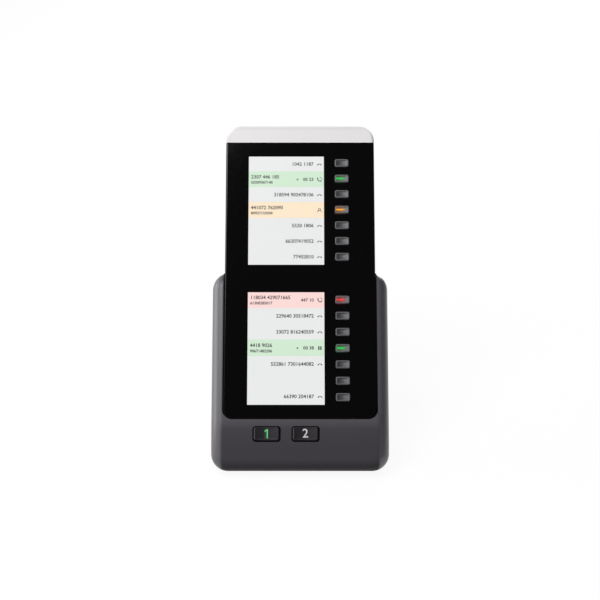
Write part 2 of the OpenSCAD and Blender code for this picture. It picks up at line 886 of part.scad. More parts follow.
module display_chassis() {
    color([0.72, 0.73, 0.75]) on_face() {
        difference() {
            at_depth(chassis_back) linear_extrude(chassis_t) difference() {
                board_outline();
                translate([key_x - mat_half - notch_gap, mat_low - notch_gap])
                    square([2 * (mat_half + notch_gap), mat_top - mat_low + 2 * notch_gap]);
                translate([window_x - flex_w / 2 - 1, lower_top - 1])
                    square([flex_w + 2, upper_low - lower_top + 2]);
                for (v = [module_mid_upper, module_mid_lower]) {
                    translate([window_x, v]) round_rect(relief_w, relief_h, relief_r);
                }
            }
            board_screw_sites()
                column(0, 0, board_screw_r + screw_gap, chassis_back + weld, module_back - weld);
        }
        board_screw_sites() difference() {
            column(0, 0, board_boss_r - 0.2, board_front, chassis_back);
            column(0, 0, board_screw_r + screw_gap, board_front + weld, chassis_back - weld);
        }
    }
}

// ---- boards ----

// outline shared by the chassis and the main board, notched round the case posts
module board_outline() {
    difference() {
        translate([0, (board_low + board_top) / 2]) round_rect(board_w, board_top - board_low, 2);
        for (i = [1, 2], side = [-1, 1]) {
            translate([side * case_spots[i][0], case_spots[i][1]]) circle(boss_r + notch_gap);
        }
    }
}

module main_board() {
    color([0.05, 0.3, 0.16]) on_face() difference() {
        at_depth(board_back) linear_extrude(board_t) board_outline();
        board_screw_sites() column(0, 0, board_screw_r + screw_gap, board_back + weld, board_front - weld);
    }
}

module board_connectors() {
    tail = flex_bend - flex_t / 2;
    color([0.85, 0.83, 0.76]) on_face() {
        for (v = [upper_low - tail, lower_top + tail]) {
            block(window_x, v, flex_w + 3, connector_l, board_front, board_front - connector_t);
        }
        block(window_x, page_plug_v, page_flex_w + 3, page_plug_l, board_back + page_plug_t, board_back);
        block(window_x, board_plug_v, page_flex_w + 3, page_plug_l, board_back + page_plug_t, board_back);
        block(0, port_v, ribbon_w + 4, 5, board_back + ribbon_plug_t, board_back);
        block(0, port_v, ribbon_w + 4, 5, port_board_front, port_board_front - ribbon_plug_t);
    }
}

// processor, memory, power parts and a few coils on the back of the main board
module board_chips() {
    color([0.09, 0.09, 0.1]) on_face() {
        for (chip = chips) {
            block(chip[0], chip_v, chip[1], chip[2], board_back + chip[3], board_back);
        }
        for (i = [0:coil_count - 1]) {
            block(power_x + coil_pitch * i, coil_v, coil_side, coil_side, board_back + coil_t, board_back);
        }
        for (i = [0:can_count - 1]) {
            column(power_x + can_pitch * i, can_v, can_r, board_back + can_h, board_back);
        }
    }
}

module line_key_mat() {
    color([0.75, 0.77, 0.78]) on_face() {
        difference() {
            block(key_x, (mat_low + mat_top) / 2, 2 * mat_half, mat_top - mat_low, board_front, mat_front);
            for (n = [1:key_count]) {
                block(key_x + lamp_x, key_v(n), lamp_size[0] + 1, lamp_size[1] + 1,
                    board_front + weld, mat_front - weld);
            }
        }
        for (n = [1:key_count]) {
            translate([key_x + dome_x, key_v(n), -mat_front - weld])
                cylinder(r1 = dome_r, r2 = dome_tip_r, h = mat_front + weld - flange_back);
        }
    }
}

module line_key_lamps() {
    color([0.95, 0.95, 0.85]) on_face() {
        for (n = [1:key_count]) {
            block(key_x + lamp_x, key_v(n), lamp_size[0], lamp_size[1], board_front, board_front - lamp_t);
        }
    }
}

// ---- keys ----

module line_key(n) {
    rim = 0.5;
    color([0.42, 0.42, 0.44]) on_face() translate([key_x, key_v(n), 0]) {
        difference() {
            translate([0, 0, key_rise])
                soft_tile(key_w, key_h, key_rise + flange_front + weld, key_r, rim - 0.1);
            translate([0, 0, key_rise + dish_r - key_dish]) rotate([90, 0, 0])
                cylinder(r = dish_r, h = key_h - 2 * rim, center = true);
            translate([bar_edge - key_w / 2, -bar_w / 2, key_rise - key_dish - bar_deep])
                cube([bar_l, bar_w, key_rise]);
        }
        at_depth(flange_back) linear_extrude(flange_t)
            round_rect(key_w + 2 * flange_reach, key_h + 2 * flange_reach, key_r);
        stop_legs(leg_x, mat_front - key_travel - stop_gap, flange_back);
    }
}

// one leg at each side, from the flange's back face to a depth
module stop_legs(x, deep, shallow) {
    for (side = [-1, 1]) {
        block(side * x, 0, leg_t, leg_l, deep, shallow - weld);
    }
}

module page_key(x) {
    drop = pow(chin_start - page_v, 2) / (2 * crown_r);
    dish = 0.35;
    half = page_w / 2 - 0.7;
    hollow_r = (half * half + dish * dish) / (2 * dish);
    color([0.2, 0.2, 0.21]) on_face() {
        difference() {
            intersection() {
                translate([x, page_v, -page_flange_back]) linear_extrude(page_flange_back + shell_edge)
                    round_rect(page_w, page_h, page_r);
                translate([x, chin_start, -crown_r]) rotate([0, 90, 0])
                    cylinder(r = crown_r + page_rise, h = 2 * page_w, center = true, $fn = 180);
            }
            translate([x, page_v, page_rise - drop - dish + hollow_r]) rotate([90, 0, 0])
                cylinder(r = hollow_r, h = 2 * page_h, center = true, $fn = 180);
        }
        translate([x, page_v, -page_flange_back]) linear_extrude(flange_t)
            round_rect(page_w + 2 * page_flange_reach, page_h + 2 * page_flange_reach, page_r);
        translate([x, page_v, 0]) stop_legs(page_leg_x, mat_front - page_travel - stop_gap, page_flange_back);
    }
}

module page_key_mat() {
    h = page_h + 1.6;
    color([0.75, 0.77, 0.78]) on_face() {
        difference() {
            block(window_x, page_v, 2 * page_mat_half, h, board_front, mat_front);
            for (x = page_xs) {
                block(x, page_v, lamp_size[0] + 1, lamp_size[1] + 1, board_front + weld, mat_front - weld);
            }
        }
        for (x = page_xs, side = [-1, 1]) {
            translate([x + side * page_dome_x, page_v, -mat_front - weld])
                cylinder(r1 = dome_r, r2 = dome_tip_r, h = mat_front + weld - page_flange_back);
        }
    }
}

module page_key_lamps() {
    color([0.95, 0.95, 0.85]) on_face() {
        for (x = page_xs) {
            block(x, page_v, lamp_size[0], lamp_size[1], board_front, board_front - lamp_t);
        }
    }
}

module page_board() {
    color([0.05, 0.3, 0.16]) on_face() difference() {
        at_depth(board_back) translate([window_x, (page_board_low + page_board_top) / 2])
            linear_extrude(board_t) round_rect(2 * page_board_half, page_board_top - page_board_low, 1.5);
        page_post_sites() column(0, 0, board_screw_r + screw_gap, board_back + weld, board_front - weld);
    }
}

module page_flex() {
    low = page_plug_v + page_plug_l / 2;
    top = board_plug_v - page_plug_l / 2;
    color([0.8, 0.5, 0.15]) on_face()
        block(window_x, (low + top) / 2, page_flex_w, top - low,
            frame_depth + weld + flex_t, frame_depth + weld);
}

// ---- link ports ----

module port_board() {
    color([0.05, 0.3, 0.16]) on_face() difference() {
        at_depth(port_front) translate([0, port_v]) linear_extrude(board_t)
            round_rect(2 * port_board_half, port_post_span + 8, 2);
        port_post_sites() column(0, 0, board_screw_r + screw_gap, port_front + weld, port_board_front - weld);
    }
}

module port(side) {
    color([0.12, 0.12, 0.13]) on_face() difference() {
        block(side * port_x, port_v, port_w, port_l, port_back, port_front);
        block(side * port_x, port_v, port_w - 2 * port_wall, port_slot_l,
            port_back + weld, port_back - port_slot_depth);
    }
}

module port_cover() {
    color([0.2, 0.2, 0.21]) on_face() {
        block(port_x, port_v, recess_w - 2 * fit_gap, recess_l - 2 * fit_gap, body_depth, port_back);
        block(port_x, port_v, port_w - 2 * port_wall - 2 * plug_gap, port_slot_l - 2 * plug_gap,
            port_back + weld, port_back - port_slot_depth + 1);
    }
}

module port_ribbon() {
    color([0.6, 0.6, 0.62]) on_face()
        block(0, port_v, ribbon_w, ribbon_t, port_board_front - ribbon_plug_t, board_back + ribbon_plug_t);
}

module link_inserts() {
    color([0.8, 0.65, 0.3]) on_face() link_screw_sites() difference() {
        column(0, 0, insert_r, body_depth, body_depth - insert_l);
        column(0, 0, insert_bore_r, body_depth + weld, body_depth - insert_l - weld);
    }
}

// ---- stand and feet ----

function desk_point(v, depth) = [
    base_y + v * cos(face_lean) + depth * sin(face_lean),
    base_z + v * sin(face_lean) - depth * cos(face_lean)
];

stand_mid = body_depth + stand_t / 2;
seat_low_point = desk_point(stand_seat_low, stand_mid);
seat_top_point = desk_point(stand_seat_top, stand_mid);
foot_point = [seat_top_point[0] + stand_reach, stand_pad_t + stand_t / 2];
stand_leg_l = norm(foot_point - seat_top_point);
leg_slope = atan2(foot_point[1] - seat_top_point[1], foot_point[0] - seat_top_point[0]);

// bar with round ends between two points
module bar(a, b, t) {
    run = b - a;
    translate(a) rotate(atan2(run[1], run[0])) translate([0, -t / 2]) square([norm(run), t]);
    translate(a) circle(t / 2);
    translate(b) circle(t / 2);
}

// children are outlines in the plane of y and z, centred across the width
module across(w, x) {
    translate([x - w / 2, 0, 0]) rotate([90, 0, 90]) linear_extrude(w) children();
}

module stand() {
    half_foot = [stand_foot_l / 2, 0];
    rib_t = 2.4;
    rib_start = stand_rib + 3;
    color([0.2, 0.2, 0.21]) {
        difference() {
            across(stand_w, 0) {
                bar(seat_low_point, seat_top_point, stand_t);
                bar(seat_top_point, foot_point, stand_t);
                bar(foot_point - half_foot, foot_point + half_foot, stand_t);
            }
            across(stand_window_w, 0) translate(seat_top_point) rotate(leg_slope)
                translate([stand_leg_l * 0.3, -stand_t]) square([stand_leg_l * 0.4, 2 * stand_t]);
        }
        for (side = [-1, 1]) {
            across(rib_t, side * (stand_w - rib_t) / 2) translate(seat_top_point) rotate(leg_slope)
                polygon([
                    [rib_start, 0], [stand_leg_l - stand_t / 2, 0],
                    [stand_leg_l - stand_rib, -stand_rib], [2 * rib_start, -stand_rib]
                ]);
        }
        on_face() stand_tabs();
    }
}

module stand_tabs() {
    for (x = [-1, 1], v = stand_tab_vs) {
        translate([x * tab_x - tab_w / 2, v, -body_depth - weld]) {
            cube([tab_w, tab_t, weld + tab_in + hook_t]);
            translate([0, 0, weld + tab_in]) cube([tab_w, tab_t + hook_t, hook_t]);
        }
    }
}

module stand_pads() {
    color([0.08, 0.08, 0.08]) for (side = [-1, 1]) {
        translate([side * (stand_w - stand_pad_w) / 2 - stand_pad_w / 2, foot_point[0] - stand_pad_l / 2, 0])
            cube([stand_pad_w, stand_pad_l, stand_pad_t]);
    }
}

module front_feet() {
    heel_y = desk_point(heel_v, heel_depth)[0];
    color([0.08, 0.08, 0.08]) for (side = [-1, 1]) {
        translate([side * foot_x, heel_y + foot_setback, 0]) linear_extrude(foot_rise)
            round_rect(foot_size[0], foot_size[1], 2);
    }
}

// ---- fasteners ----

// screw with its seat at the origin, pointing to the front
module screw(r, l, head_r, head_t) {
    difference() {
        union() {
            cylinder(r = r, h = l);
            translate([0, 0, -head_t]) cylinder(r = head_r, h = head_t);
        }
        translate([0, 0, -head_t - weld]) cylinder(r = head_r / 2, h = head_t / 2 + weld, $fn = 6);
    }
}

module case_screws() {
    color([0.5, 0.5, 0.52]) on_face() case_screw_sites(0, 2)
        translate([0, 0, -floor_t]) screw(case_screw_r, case_screw_l, case_head_r, case_head_t);
}

module board_screws() {
    color([0.6, 0.6, 0.62]) on_face() {
        board_screw_sites() board_screw();
        page_post_sites() board_screw();
    }
}

module board_screw() {
    at_depth(board_back) screw(board_screw_r, board_screw_l, board_head_r, board_head_t);
}

module port_screws() {
    color([0.6, 0.6, 0.62]) on_face() port_post_sites() at_depth(port_board_front)
        mirror([0, 0, 1]) screw(board_screw_r, board_screw_l, board_head_r, board_head_t);
}

// ---- what is drawn ----

front_shell();
rear_cover();
head_cover();
top_cap();
panel_frame();
lens_tape();
front_lens();
gasket(upper_window_v, module_mid_upper);  // gasket_upper
gasket(lower_window_v, module_mid_lower);  // gasket_lower
display(module_mid_upper);  // display_upper
display(module_mid_lower);  // display_lower
display_flex(upper_low, -1);  // display_flex_upper
display_flex(lower_top, 1);  // display_flex_lower
display_chassis();
main_board();
board_connectors();
board_chips();
line_key_mat();
line_key_lamps();
line_key(1);  // line_key_01
line_key(2);  // line_key_02
line_key(3);  // line_key_03
line_key(4);  // line_key_04
line_key(5);  // line_key_05
line_key(6);  // line_key_06
line_key(7);  // line_key_07
line_key(8);  // line_key_08
line_key(9);  // line_key_09
line_key(10);  // line_key_10
line_key(11);  // line_key_11
line_key(12);  // line_key_12
line_key(13);  // line_key_13
line_key(14);  // line_key_14
page_key(page_xs[0]);  // page_key_1
page_key(page_xs[1]);  // page_key_2
page_key_mat();
page_key_lamps();
page_board();
page_flex();
port_board();
port(-1);  // port_left
port(1);  // port_right
port_cover();
port_ribbon();
link_inserts();
stand();
stand_pads();
front_feet();
case_screws();
board_screws();
port_screws();
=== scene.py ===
import json
from contextlib import contextmanager
from math import atan2, cos, pi, radians, sin, sqrt

import bmesh
import bpy
from mathutils import Matrix, Vector


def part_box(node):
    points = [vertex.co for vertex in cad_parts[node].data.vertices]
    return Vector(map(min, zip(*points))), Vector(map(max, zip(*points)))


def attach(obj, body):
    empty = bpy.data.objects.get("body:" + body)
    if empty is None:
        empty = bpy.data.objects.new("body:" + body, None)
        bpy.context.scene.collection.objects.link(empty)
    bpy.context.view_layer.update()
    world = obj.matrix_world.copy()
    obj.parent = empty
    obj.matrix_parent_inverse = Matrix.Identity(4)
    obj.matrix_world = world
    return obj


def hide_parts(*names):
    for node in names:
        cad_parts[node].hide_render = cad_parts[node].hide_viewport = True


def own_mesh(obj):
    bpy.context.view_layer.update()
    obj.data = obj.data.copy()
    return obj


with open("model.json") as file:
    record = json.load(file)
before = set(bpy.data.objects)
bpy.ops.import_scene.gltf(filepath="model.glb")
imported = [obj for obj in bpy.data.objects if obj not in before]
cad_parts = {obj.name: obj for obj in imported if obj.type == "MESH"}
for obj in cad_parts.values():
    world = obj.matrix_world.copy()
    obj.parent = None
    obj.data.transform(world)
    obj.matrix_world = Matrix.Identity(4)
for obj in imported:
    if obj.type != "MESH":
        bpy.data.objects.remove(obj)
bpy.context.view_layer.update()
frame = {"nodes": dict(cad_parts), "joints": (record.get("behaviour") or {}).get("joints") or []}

print("frame loaded,", len(frame["nodes"]), "CAD parts")

mm = 0.001
root = "module"
black = (0, 0, 0, 1)

# sizes on the face are in millimetres: x across, v up the face, out of the face
face = {
    "top": 217.8,  # upper edge of the glass
    "glass": 1.5,
    "windowWidth": 48.7,
    "windowHeight": 73.2,
    "windowX": -8.92,
    "upperWindow": 171.5,
    "lowerWindow": 80.0,
    "chinTop": 34.9,
}
pressAxis = Vector(frame["joints"][0]["axis"]).normalized()
faceLean = atan2(pressAxis.y, -pressAxis.z)
faceUp = Vector((0, cos(faceLean), sin(faceLean)))
faceOut = -pressAxis
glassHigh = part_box("front_lens")[1]
glassTop = Vector((0, glassHigh.y - face["glass"] * mm * sin(faceLean), glassHigh.z))
faceOrigin = glassTop - faceUp * face["top"] * mm
faceToWorld = Matrix.Translation(faceOrigin) @ Matrix(
    ((1, faceUp.x, faceOut.x, 0), (0, faceUp.y, faceOut.y, 0), (0, faceUp.z, faceOut.z, 0), (0, 0, 0, 1))
) @ Matrix.Scale(mm, 4)
worldToFace = faceToWorld.inverted()
deskToWorld = Matrix.Scale(mm, 4)  # for what lies square to the desk, in millimetres
weld = 2e-6  # points closer than this are one, in metres
crease = 34.0  # degrees from which an edge is sharp


def facePoint(x, v, out=0.0):
    return faceToWorld @ Vector((x, v, out))


def faceSpot(node):
    # middle of a CAD part, in face millimetres
    low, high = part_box(node)
    return worldToFace @ ((low + high) / 2)


def progress(value, start, end):
    # how far a value has come from start to end, 0 to 1
    return min(1.0, max(0.0, (value - start) / (end - start)))


def link(name, data):
    piece = bpy.data.objects.new(name, data)
    bpy.context.scene.collection.objects.link(piece)
    return piece


camera = {
    "aim": 111.5,  # up the face
    "side": -0.05,
    "distance": 1178.0,
    "elevation": 25.0,
    "lens": 110.9,
    "sensor": 36.0,
    "near": 0.05,
    "far": 20.0,
}
studio = {
    "softboxes": {  # place, width, power
        "topSoftbox": ((-0.4, -0.35, 1.05), 0.6, 9.8),
        "sideSoftbox": ((-0.9, 0.2, 0.36), 0.6, 3.6),
        "backSoftbox": ((0.25, 1.1, 0.25), 0.5, 7.0),
    },
    "target": (0, 0, 0.09),
    "horizon": 0.1,  # soft light from the sides, and from above
    "zenith": 0.5,
    "ceiling": 0.05,  # how bright glossy surfaces see what hangs above the set
    "ceilingEdge": (0.3, 0.7),
    "flag": 0.12,  # and the black flag that stands to the right
    "flagEdge": (0.0, 0.5),
    "floor": 0.9,
    "floorReach": 6.0,
    "floorBounce": 0.22,  # what the floor throws back at the module
    "floorShare": 0.93,  # how much of the floor the camera sees as plain white
}


def pointed(name, data, place, way):
    # camera or light that looks along a direction
    piece = link(name, data)
    piece.location = place
    piece.rotation_mode = "QUATERNION"
    piece.rotation_quaternion = way.to_track_quat("-Z", "Y")
    return piece


def makeCamera():
    data = bpy.data.cameras.new("viewCamera")
    data.lens, data.sensor_width = camera["lens"], camera["sensor"]
    data.clip_start, data.clip_end = camera["near"], camera["far"]
    tilt = radians(camera["elevation"])
    back = Vector((0, -cos(tilt), sin(tilt)))
    place = facePoint(camera["side"], camera["aim"]) + back * camera["distance"] * mm
    bpy.context.scene.camera = pointed("viewCamera", data, place, -back)


def makeSoftboxes():
    for name, (place, width, power) in studio["softboxes"].items():
        data = bpy.data.lights.new(name, "AREA")
        data.shape, data.size, data.energy = "SQUARE", width, power
        way = Vector(studio["target"]) - Vector(place)
        pointed(name, data, place, way).visible_camera = False


makeCamera()
makeSoftboxes()
print("camera and lights placed")


def bothWays(operation):
    # an operator and its reflected form
    return (
        lambda self, other: self.sum(operation, self, other),
        lambda self, other: self.sum(operation, other, self),
    )


class Flow:
    # an output socket that takes part in Python sums
    def __init__(self, sheet, socket):
        self.sheet = sheet
        self.socket = socket

    def sum(self, operation, *terms):
        return self.sheet.node("ShaderNodeMath", {"operation": operation}, dict(enumerate(terms)))

    __add__, __radd__ = bothWays("ADD")
    __sub__, __rsub__ = bothWays("SUBTRACT")
    __mul__, __rmul__ = bothWays("MULTIPLY")
    __truediv__, __rtruediv__ = bothWays("DIVIDE")

    def most(self, other):
        return self.sum("MAXIMUM", self, other)

    def size(self):
        return self.sum("ABSOLUTE", self)

    def wave(self):
        return self.sum("COSINE", self)


def spaced(values):
    # socket names as keywords: an underscore stands for a space
    return {key.replace("_", " "): value for key, value in values.items()}


class NodeSheet:
    # a node tree, and the one way in which nodes come into it
    def __init__(self, tree):
        self.tree = tree

    def place(self, node, values):
        for key, value in values.items():
            socket = node.inputs[key]
            for item in value if isinstance(value, list) else [value]:
                if isinstance(item, Flow):
                    self.tree.links.new(item.socket, socket)
                else:
                    socket.default_value = item

    def node(self, kind, settings=None, values=None, output=0):
        # settings first, then values or links; a tuple of outputs gives a list of flows
        made = self.tree.nodes.new(kind)
        for key, value in (settings or {}).items():
            setattr(made, key, value)
        self.place(made, values or {})
        if isinstance(output, tuple):
            return [Flow(self, made.outputs[name]) for name in output]
        return Flow(self, made.outputs[output]) if made.outputs else made

    def smooth(self, value, start, end, low=0.0, high=1.0):
        # low below start, high above end
        return self.node(
            "ShaderNodeMapRange",
            {"interpolation_type": "SMOOTHSTEP"},
            {"Value": value, "From Min": start, "From Max": end, "To Min": low, "To Max": high},
        )

    def blend(self, factor, first, second, kind="MIX"):
        settings = {"data_type": "RGBA", "blend_type": kind}
        return self.node("ShaderNodeMix", settings, {0: factor, 6: first, 7: second}, output=2)


finishes = {}


class Finish(NodeSheet):
    # one material with a Principled shader, kept under the slot's name
    def __init__(self, slot, name, **shell):
        self.material = bpy.data.materials.new(name)
        self.material.use_nodes = True
        super().__init__(self.material.node_tree)
        self.shader = self.tree.nodes["Principled BSDF"]
        self.give(**shell)
        finishes[slot] = self.material

    def give(self, **values):
        self.place(self.shader, spaced(values))

    def where(self):
        return self.node("ShaderNodeTexCoord", output="Object")

    def axis(self, way, start=(0, 0, 0)):
        # distance in millimetres along a direction, from a point of the module
        kind = "ShaderNodeVectorMath"
        moved = self.node(kind, {"operation": "SUBTRACT"}, {0: self.where(), 1: tuple(start)})
        return self.node(kind, {"operation": "DOT_PRODUCT"}, {0: moved, 1: tuple(way)}, output="Value") / mm

    def noise(self, grain, detail=2.0, roughness=0.5):
        # grain is the size of a speck in millimetres
        values = {"Vector": self.where(), "Scale": 1 / (grain * mm), "Detail": detail, "Roughness": roughness}
        return self.node("ShaderNodeTexNoise", values=values)

    def bump(self, height, depth):
        # depth is the height of the relief in millimetres
        values = {"Strength": 1.0, "Distance": depth * mm, "Height": height}
        self.give(Normal=self.node("ShaderNodeBump", values=values))

    def tint(self, mask, share):
        # the colour so far, made lighter or darker where the mask is 1
        base = Flow(self, self.shader.inputs["Base Color"].links[0].from_socket)
        other = self.blend(1.0, base, (share, share, share, 1), "MULTIPLY")
        self.give(Base_Color=self.blend(mask, base, other))

    def pieceMap(self):
        # the two directions of a piece's own map
        spread = self.node("ShaderNodeUVMap", {"uv_map": "spread"})
        return self.node("ShaderNodeSeparateXYZ", values={0: spread}, output=("X", "Y"))


def shade(*levels):
    # display colour, 0 to 255, as the shader wants it
    if len(levels) == 1:
        levels = levels * 3
    linear = [(c / 255 / 12.92) if c < 10.3 else ((c / 255 + 0.055) / 1.055) ** 2.4 for c in levels]
    return (*linear, 1.0)


def toned(colour, share):
    return (*(min(1.0, c * share) for c in colour[:3]), 1.0)


def mouldedPlastic(slot, name, level, roughness, grain=0.35, relief=0.012, mottle=0.05, **shell):
    # injection moulded plastic: an eroded texture, a little uneven in colour and gloss
    finish = Finish(slot, name, **shell)
    cloud = finish.noise(14.0, 3.0)
    speck = finish.noise(grain)
    base = shade(*level)
    finish.give(
        Base_Color=finish.blend(cloud * 0.7 + speck * 0.3, toned(base, 1 - mottle), toned(base, 1 + mottle)),
        Roughness=roughness - 0.05 + cloud * 0.06 + speck * 0.04,
    )
    finish.bump(speck, relief)
    return finish


# name, colour, roughness, and what differs from plain moulded plastic
plastics = {
    "cover": ("coverCharcoal", (58, 56, 60), 0.6, {"grain": 0.6, "relief": 0.03, "Specular_IOR_Level": 0.2}),
    "frame": ("frameBlack", (16, 16, 17), 0.5, {"relief": 0.006, "Specular_IOR_Level": 0.1}),
    "groundEdge": ("glassGroundEdge", (14, 14, 15), 0.5,
                   {"grain": 0.2, "relief": 0.003, "Specular_IOR_Level": 0.15}),
    "rubber": ("rubberBlack", (30, 30, 31), 0.85, {"grain": 0.5, "relief": 0.02}),
    "foam": ("foamBlack", (26, 26, 26), 0.95, {"grain": 0.3, "relief": 0.05}),
    "silicone": ("siliconeGrey", (190, 194, 198), 0.5, {"relief": 0.004}),
    "chip": ("chipBlack", (28, 28, 30), 0.55, {"grain": 0.2}),
    "film": ("filmAmber", (190, 116, 42), 0.3, {"relief": 0.003}),
    "cream": ("connectorCream", (214, 208, 190), 0.45, {"relief": 0.004}),
    "portBlack": ("portBlack", (24, 24, 25), 0.5, {"relief": 0.006}),
    "ribbon": ("ribbonGrey", (148, 149, 152), 0.6, {"relief": 0.01}),
    "lamp": ("lampResin", (236, 236, 214), 0.25, {"relief": 0.002}),
    "gauze": ("gauzeBlack", (46, 46, 48), 0.5, {"grain": 0.2, "relief": 0.004}),
}
# name, size of the grain, its detail, the two colours between which it varies, least roughness
metals = {
    "steel": ("plainSteel", 0.5, 4.0, (0.42, 0.43, 0.45, 1), (0.6, 0.61, 0.63, 1), 0.28),
    "brass": ("turnedBrass", 0.4, 3.0, (0.6, 0.4, 0.13, 1), (0.78, 0.56, 0.22, 1), 0.25),
    "gold": ("contactGold", 0.3, 3.0, (0.72, 0.46, 0.14, 1), (0.95, 0.68, 0.28, 1), 0.2),
}
shellLook = {
    "level": (67, 64, 69),
    "lipHighlight": 1.5,  # painted highlight: how much lighter the chin beside the glass and the right strip beside the panel are painted, against the rest
    "lipReach": 8.5,  # how far down it fades, and the short way up
    "lipEnd": (0.6, 5.0),
    "sheenFrom": 48.6,  # the side strips are smoother than the chin
    "sheenTo": 51.0,
    "coatRoughness": 0.42,
    "coatIndex": 1.75,
    "stripHighlightInner": (44.0, 45.0),  # painted highlight: the right strip is painted lighter beside the panel
    "stripHighlightOuter": (49.5, 52.5),
    "stripHighlightStart": 6.0,  # above the chin
}
capLook = {
    "level": (227, 225, 226),
    "rim": 0.86,  # painted shade: how dark the rolled edge is painted against the rest
    "side": (45.0, 48.0),
    "top": (225.5, 229.5),
}
litRows = {  # fields of the displays
    "paper": (235, 236, 236),
    "greenRow": (211, 236, 211),
    "orangeRow": (254, 233, 203),
    "redRow": (254, 220, 216),
}
litStrength = 0.97


def makeShellFinish():
    finish = mouldedPlastic(
        "shell", "shellCharcoal", shellLook["level"], 0.5, Specular_IOR_Level=0.15,
        Coat_Roughness=shellLook["coatRoughness"], Coat_IOR=shellLook["coatIndex"],
    )
    right = finish.axis((1, 0, 0))
    up = finish.axis(faceUp, faceOrigin)
    side = finish.smooth(right.size(), shellLook["sheenFrom"], shellLook["sheenTo"])
    finish.give(Coat_Weight=side)
    chinTop = face["chinTop"]
    # painted highlight: a lighter band painted along the chin beside the glass
    lipHighlight = finish.smooth(up, chinTop - shellLook["lipReach"], chinTop)
    lipHighlight = lipHighlight * (1 - finish.smooth(up, *(chinTop + step for step in shellLook["lipEnd"])))
    # painted highlight on the right strip beside the panel, above the chin
    strip = finish.smooth(right, *shellLook["stripHighlightInner"])
    strip = strip * (1 - finish.smooth(right, *shellLook["stripHighlightOuter"]))
    strip = strip * finish.smooth(up, chinTop, chinTop + shellLook["stripHighlightStart"])
    finish.tint((lipHighlight * (1 - side)).most(strip), shellLook["lipHighlight"])


def makeCapFinish():
    finish = mouldedPlastic(
        "cap", "capGrey", capLook["level"], 0.5, relief=0.006, mottle=0.012, Specular_IOR_Level=0.05
    )
    # painted shade: the sides and the top of the cap are painted darker
    side = finish.smooth(finish.axis((1, 0, 0)).size(), *capLook["side"])
    top = finish.smooth(finish.axis(faceUp, faceOrigin), *capLook["top"])
    finish.tint(side.most(top), capLook["rim"])


def makeGlassFinish():
    finish = Finish("glass", "glassBlack", Specular_IOR_Level=0.42)
    dust = finish.noise(2.5, 4.0, 0.6)
    finish.give(
        Base_Color=finish.blend(dust, (0.0012, 0.001, 0.0012, 1), (0.0022, 0.0019, 0.0021, 1)),
        Roughness=0.03 + dust * 0.05,
    )


def makeMetalFinish(slot, name, grain, detail, low, high, roughness):
    finish = Finish(slot, name, Metallic=1.0)
    worn = finish.noise(grain, detail)
    finish.give(Base_Color=finish.blend(worn, low, high), Roughness=roughness + worn * 0.15)


def makeBoardFinish():
    finish = Finish("board", "boardGreen", Roughness=0.35)
    weave = finish.noise(0.8, 3.0)
    finish.give(Base_Color=finish.blend(weave, (0.006, 0.09, 0.035, 1), (0.012, 0.16, 0.06, 1)))


def makeLitFinish(slot, level):
    # a field of the display: even light with a faint haze
    finish = Finish(slot, slot + "Lit", Roughness=0.25, Specular_IOR_Level=0.2, Emission_Strength=litStrength)
    haze = finish.noise(9.0)
    lit = shade(*level)
    finish.give(
        Emission_Color=finish.blend(haze, toned(lit, 0.975), lit),
        Base_Color=finish.blend(haze, shade(38), shade(44)),
    )


def makeInkFinish():
    finish = Finish("ink", "inkInk", Roughness=0.3, Specular_IOR_Level=0.2)
    level = shade(70, 70, 74)
    finish.give(Base_Color=finish.blend(finish.noise(3.0, 1.0), toned(level, 0.9), level))


for slot, (name, level, roughness, rest) in plastics.items():
    mouldedPlastic(slot, name, level, roughness, **rest)
for slot, metal in metals.items():
    makeMetalFinish(slot, *metal)
for slot, level in litRows.items():
    makeLitFinish(slot, level)
makeShellFinish()
makeCapFinish()
makeGlassFinish()
makeBoardFinish()
makeInkFinish()
print("finishes made")


def newPiece(name, mesh, *slots):
    for slot in slots:
        mesh.materials.append(finishes[slot])
    return link(name, mesh)


def settle(piece, body, slot, *nodes):
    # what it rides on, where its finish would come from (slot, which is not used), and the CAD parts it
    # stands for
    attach(piece, body)
    if nodes:
        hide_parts(*nodes)


@contextmanager
def reworked(mesh):
    # a mesh while it is worked on; it is written back at the end
    work = bmesh.new()
    work.from_mesh(mesh)
    yield work
    work.to_mesh(mesh)
    work.free()


def meshFromPoints(name, verts, faces, spread=None):
    # spread says where a point lies on the piece's own map
    mesh = bpy.data.meshes.new(name)
    mesh.from_pydata([tuple(v) for v in verts], [], faces)
    if spread:
        layer = mesh.uv_layers.new(name="spread")
        for loop in mesh.loops:
            layer.data[loop.index].uv = spread(mesh.vertices[loop.vertex_index].co)
    return mesh


def outwards(mesh):
    with reworked(mesh) as work:
        bmesh.ops.remove_doubles(work, verts=work.verts, dist=1e-7)
        bmesh.ops.recalc_face_normals(work, faces=work.faces)


def smoothFaces(work, sharp):
    for polygon in work.faces:
        polygon.smooth = True
    for edge in work.edges:
        edge.smooth = edge.calc_face_angle(pi) < radians(sharp)


def soften(mesh, sharp):
    # merged and smooth, with its sharp edges kept
    with reworked(mesh) as work:
        bmesh.ops.remove_doubles(work, verts=work.verts, dist=weld)
        bmesh.ops.dissolve_degenerate(work, edges=work.edges, dist=1e-7)
        smoothFaces(work, sharp)


def weighNormals(piece, weight=60):
    even = piece.modifiers.new("evenNormals", "WEIGHTED_NORMAL")
    even.keep_sharp = True
    even.weight = weight


def skinMesh(node, name):
    # own copy of a CAD part's mesh, which may be changed
    mesh = frame["nodes"][node].data.copy()
    mesh.name = name
    mesh.materials.clear()
    return mesh


def smoothSkin(node, slot):
    # copy of a CAD part, smooth across its rounded faces
    mesh = skinMesh(node, node + "Skin")
    soften(mesh, crease)
    return newPiece(mesh.name, mesh, slot)


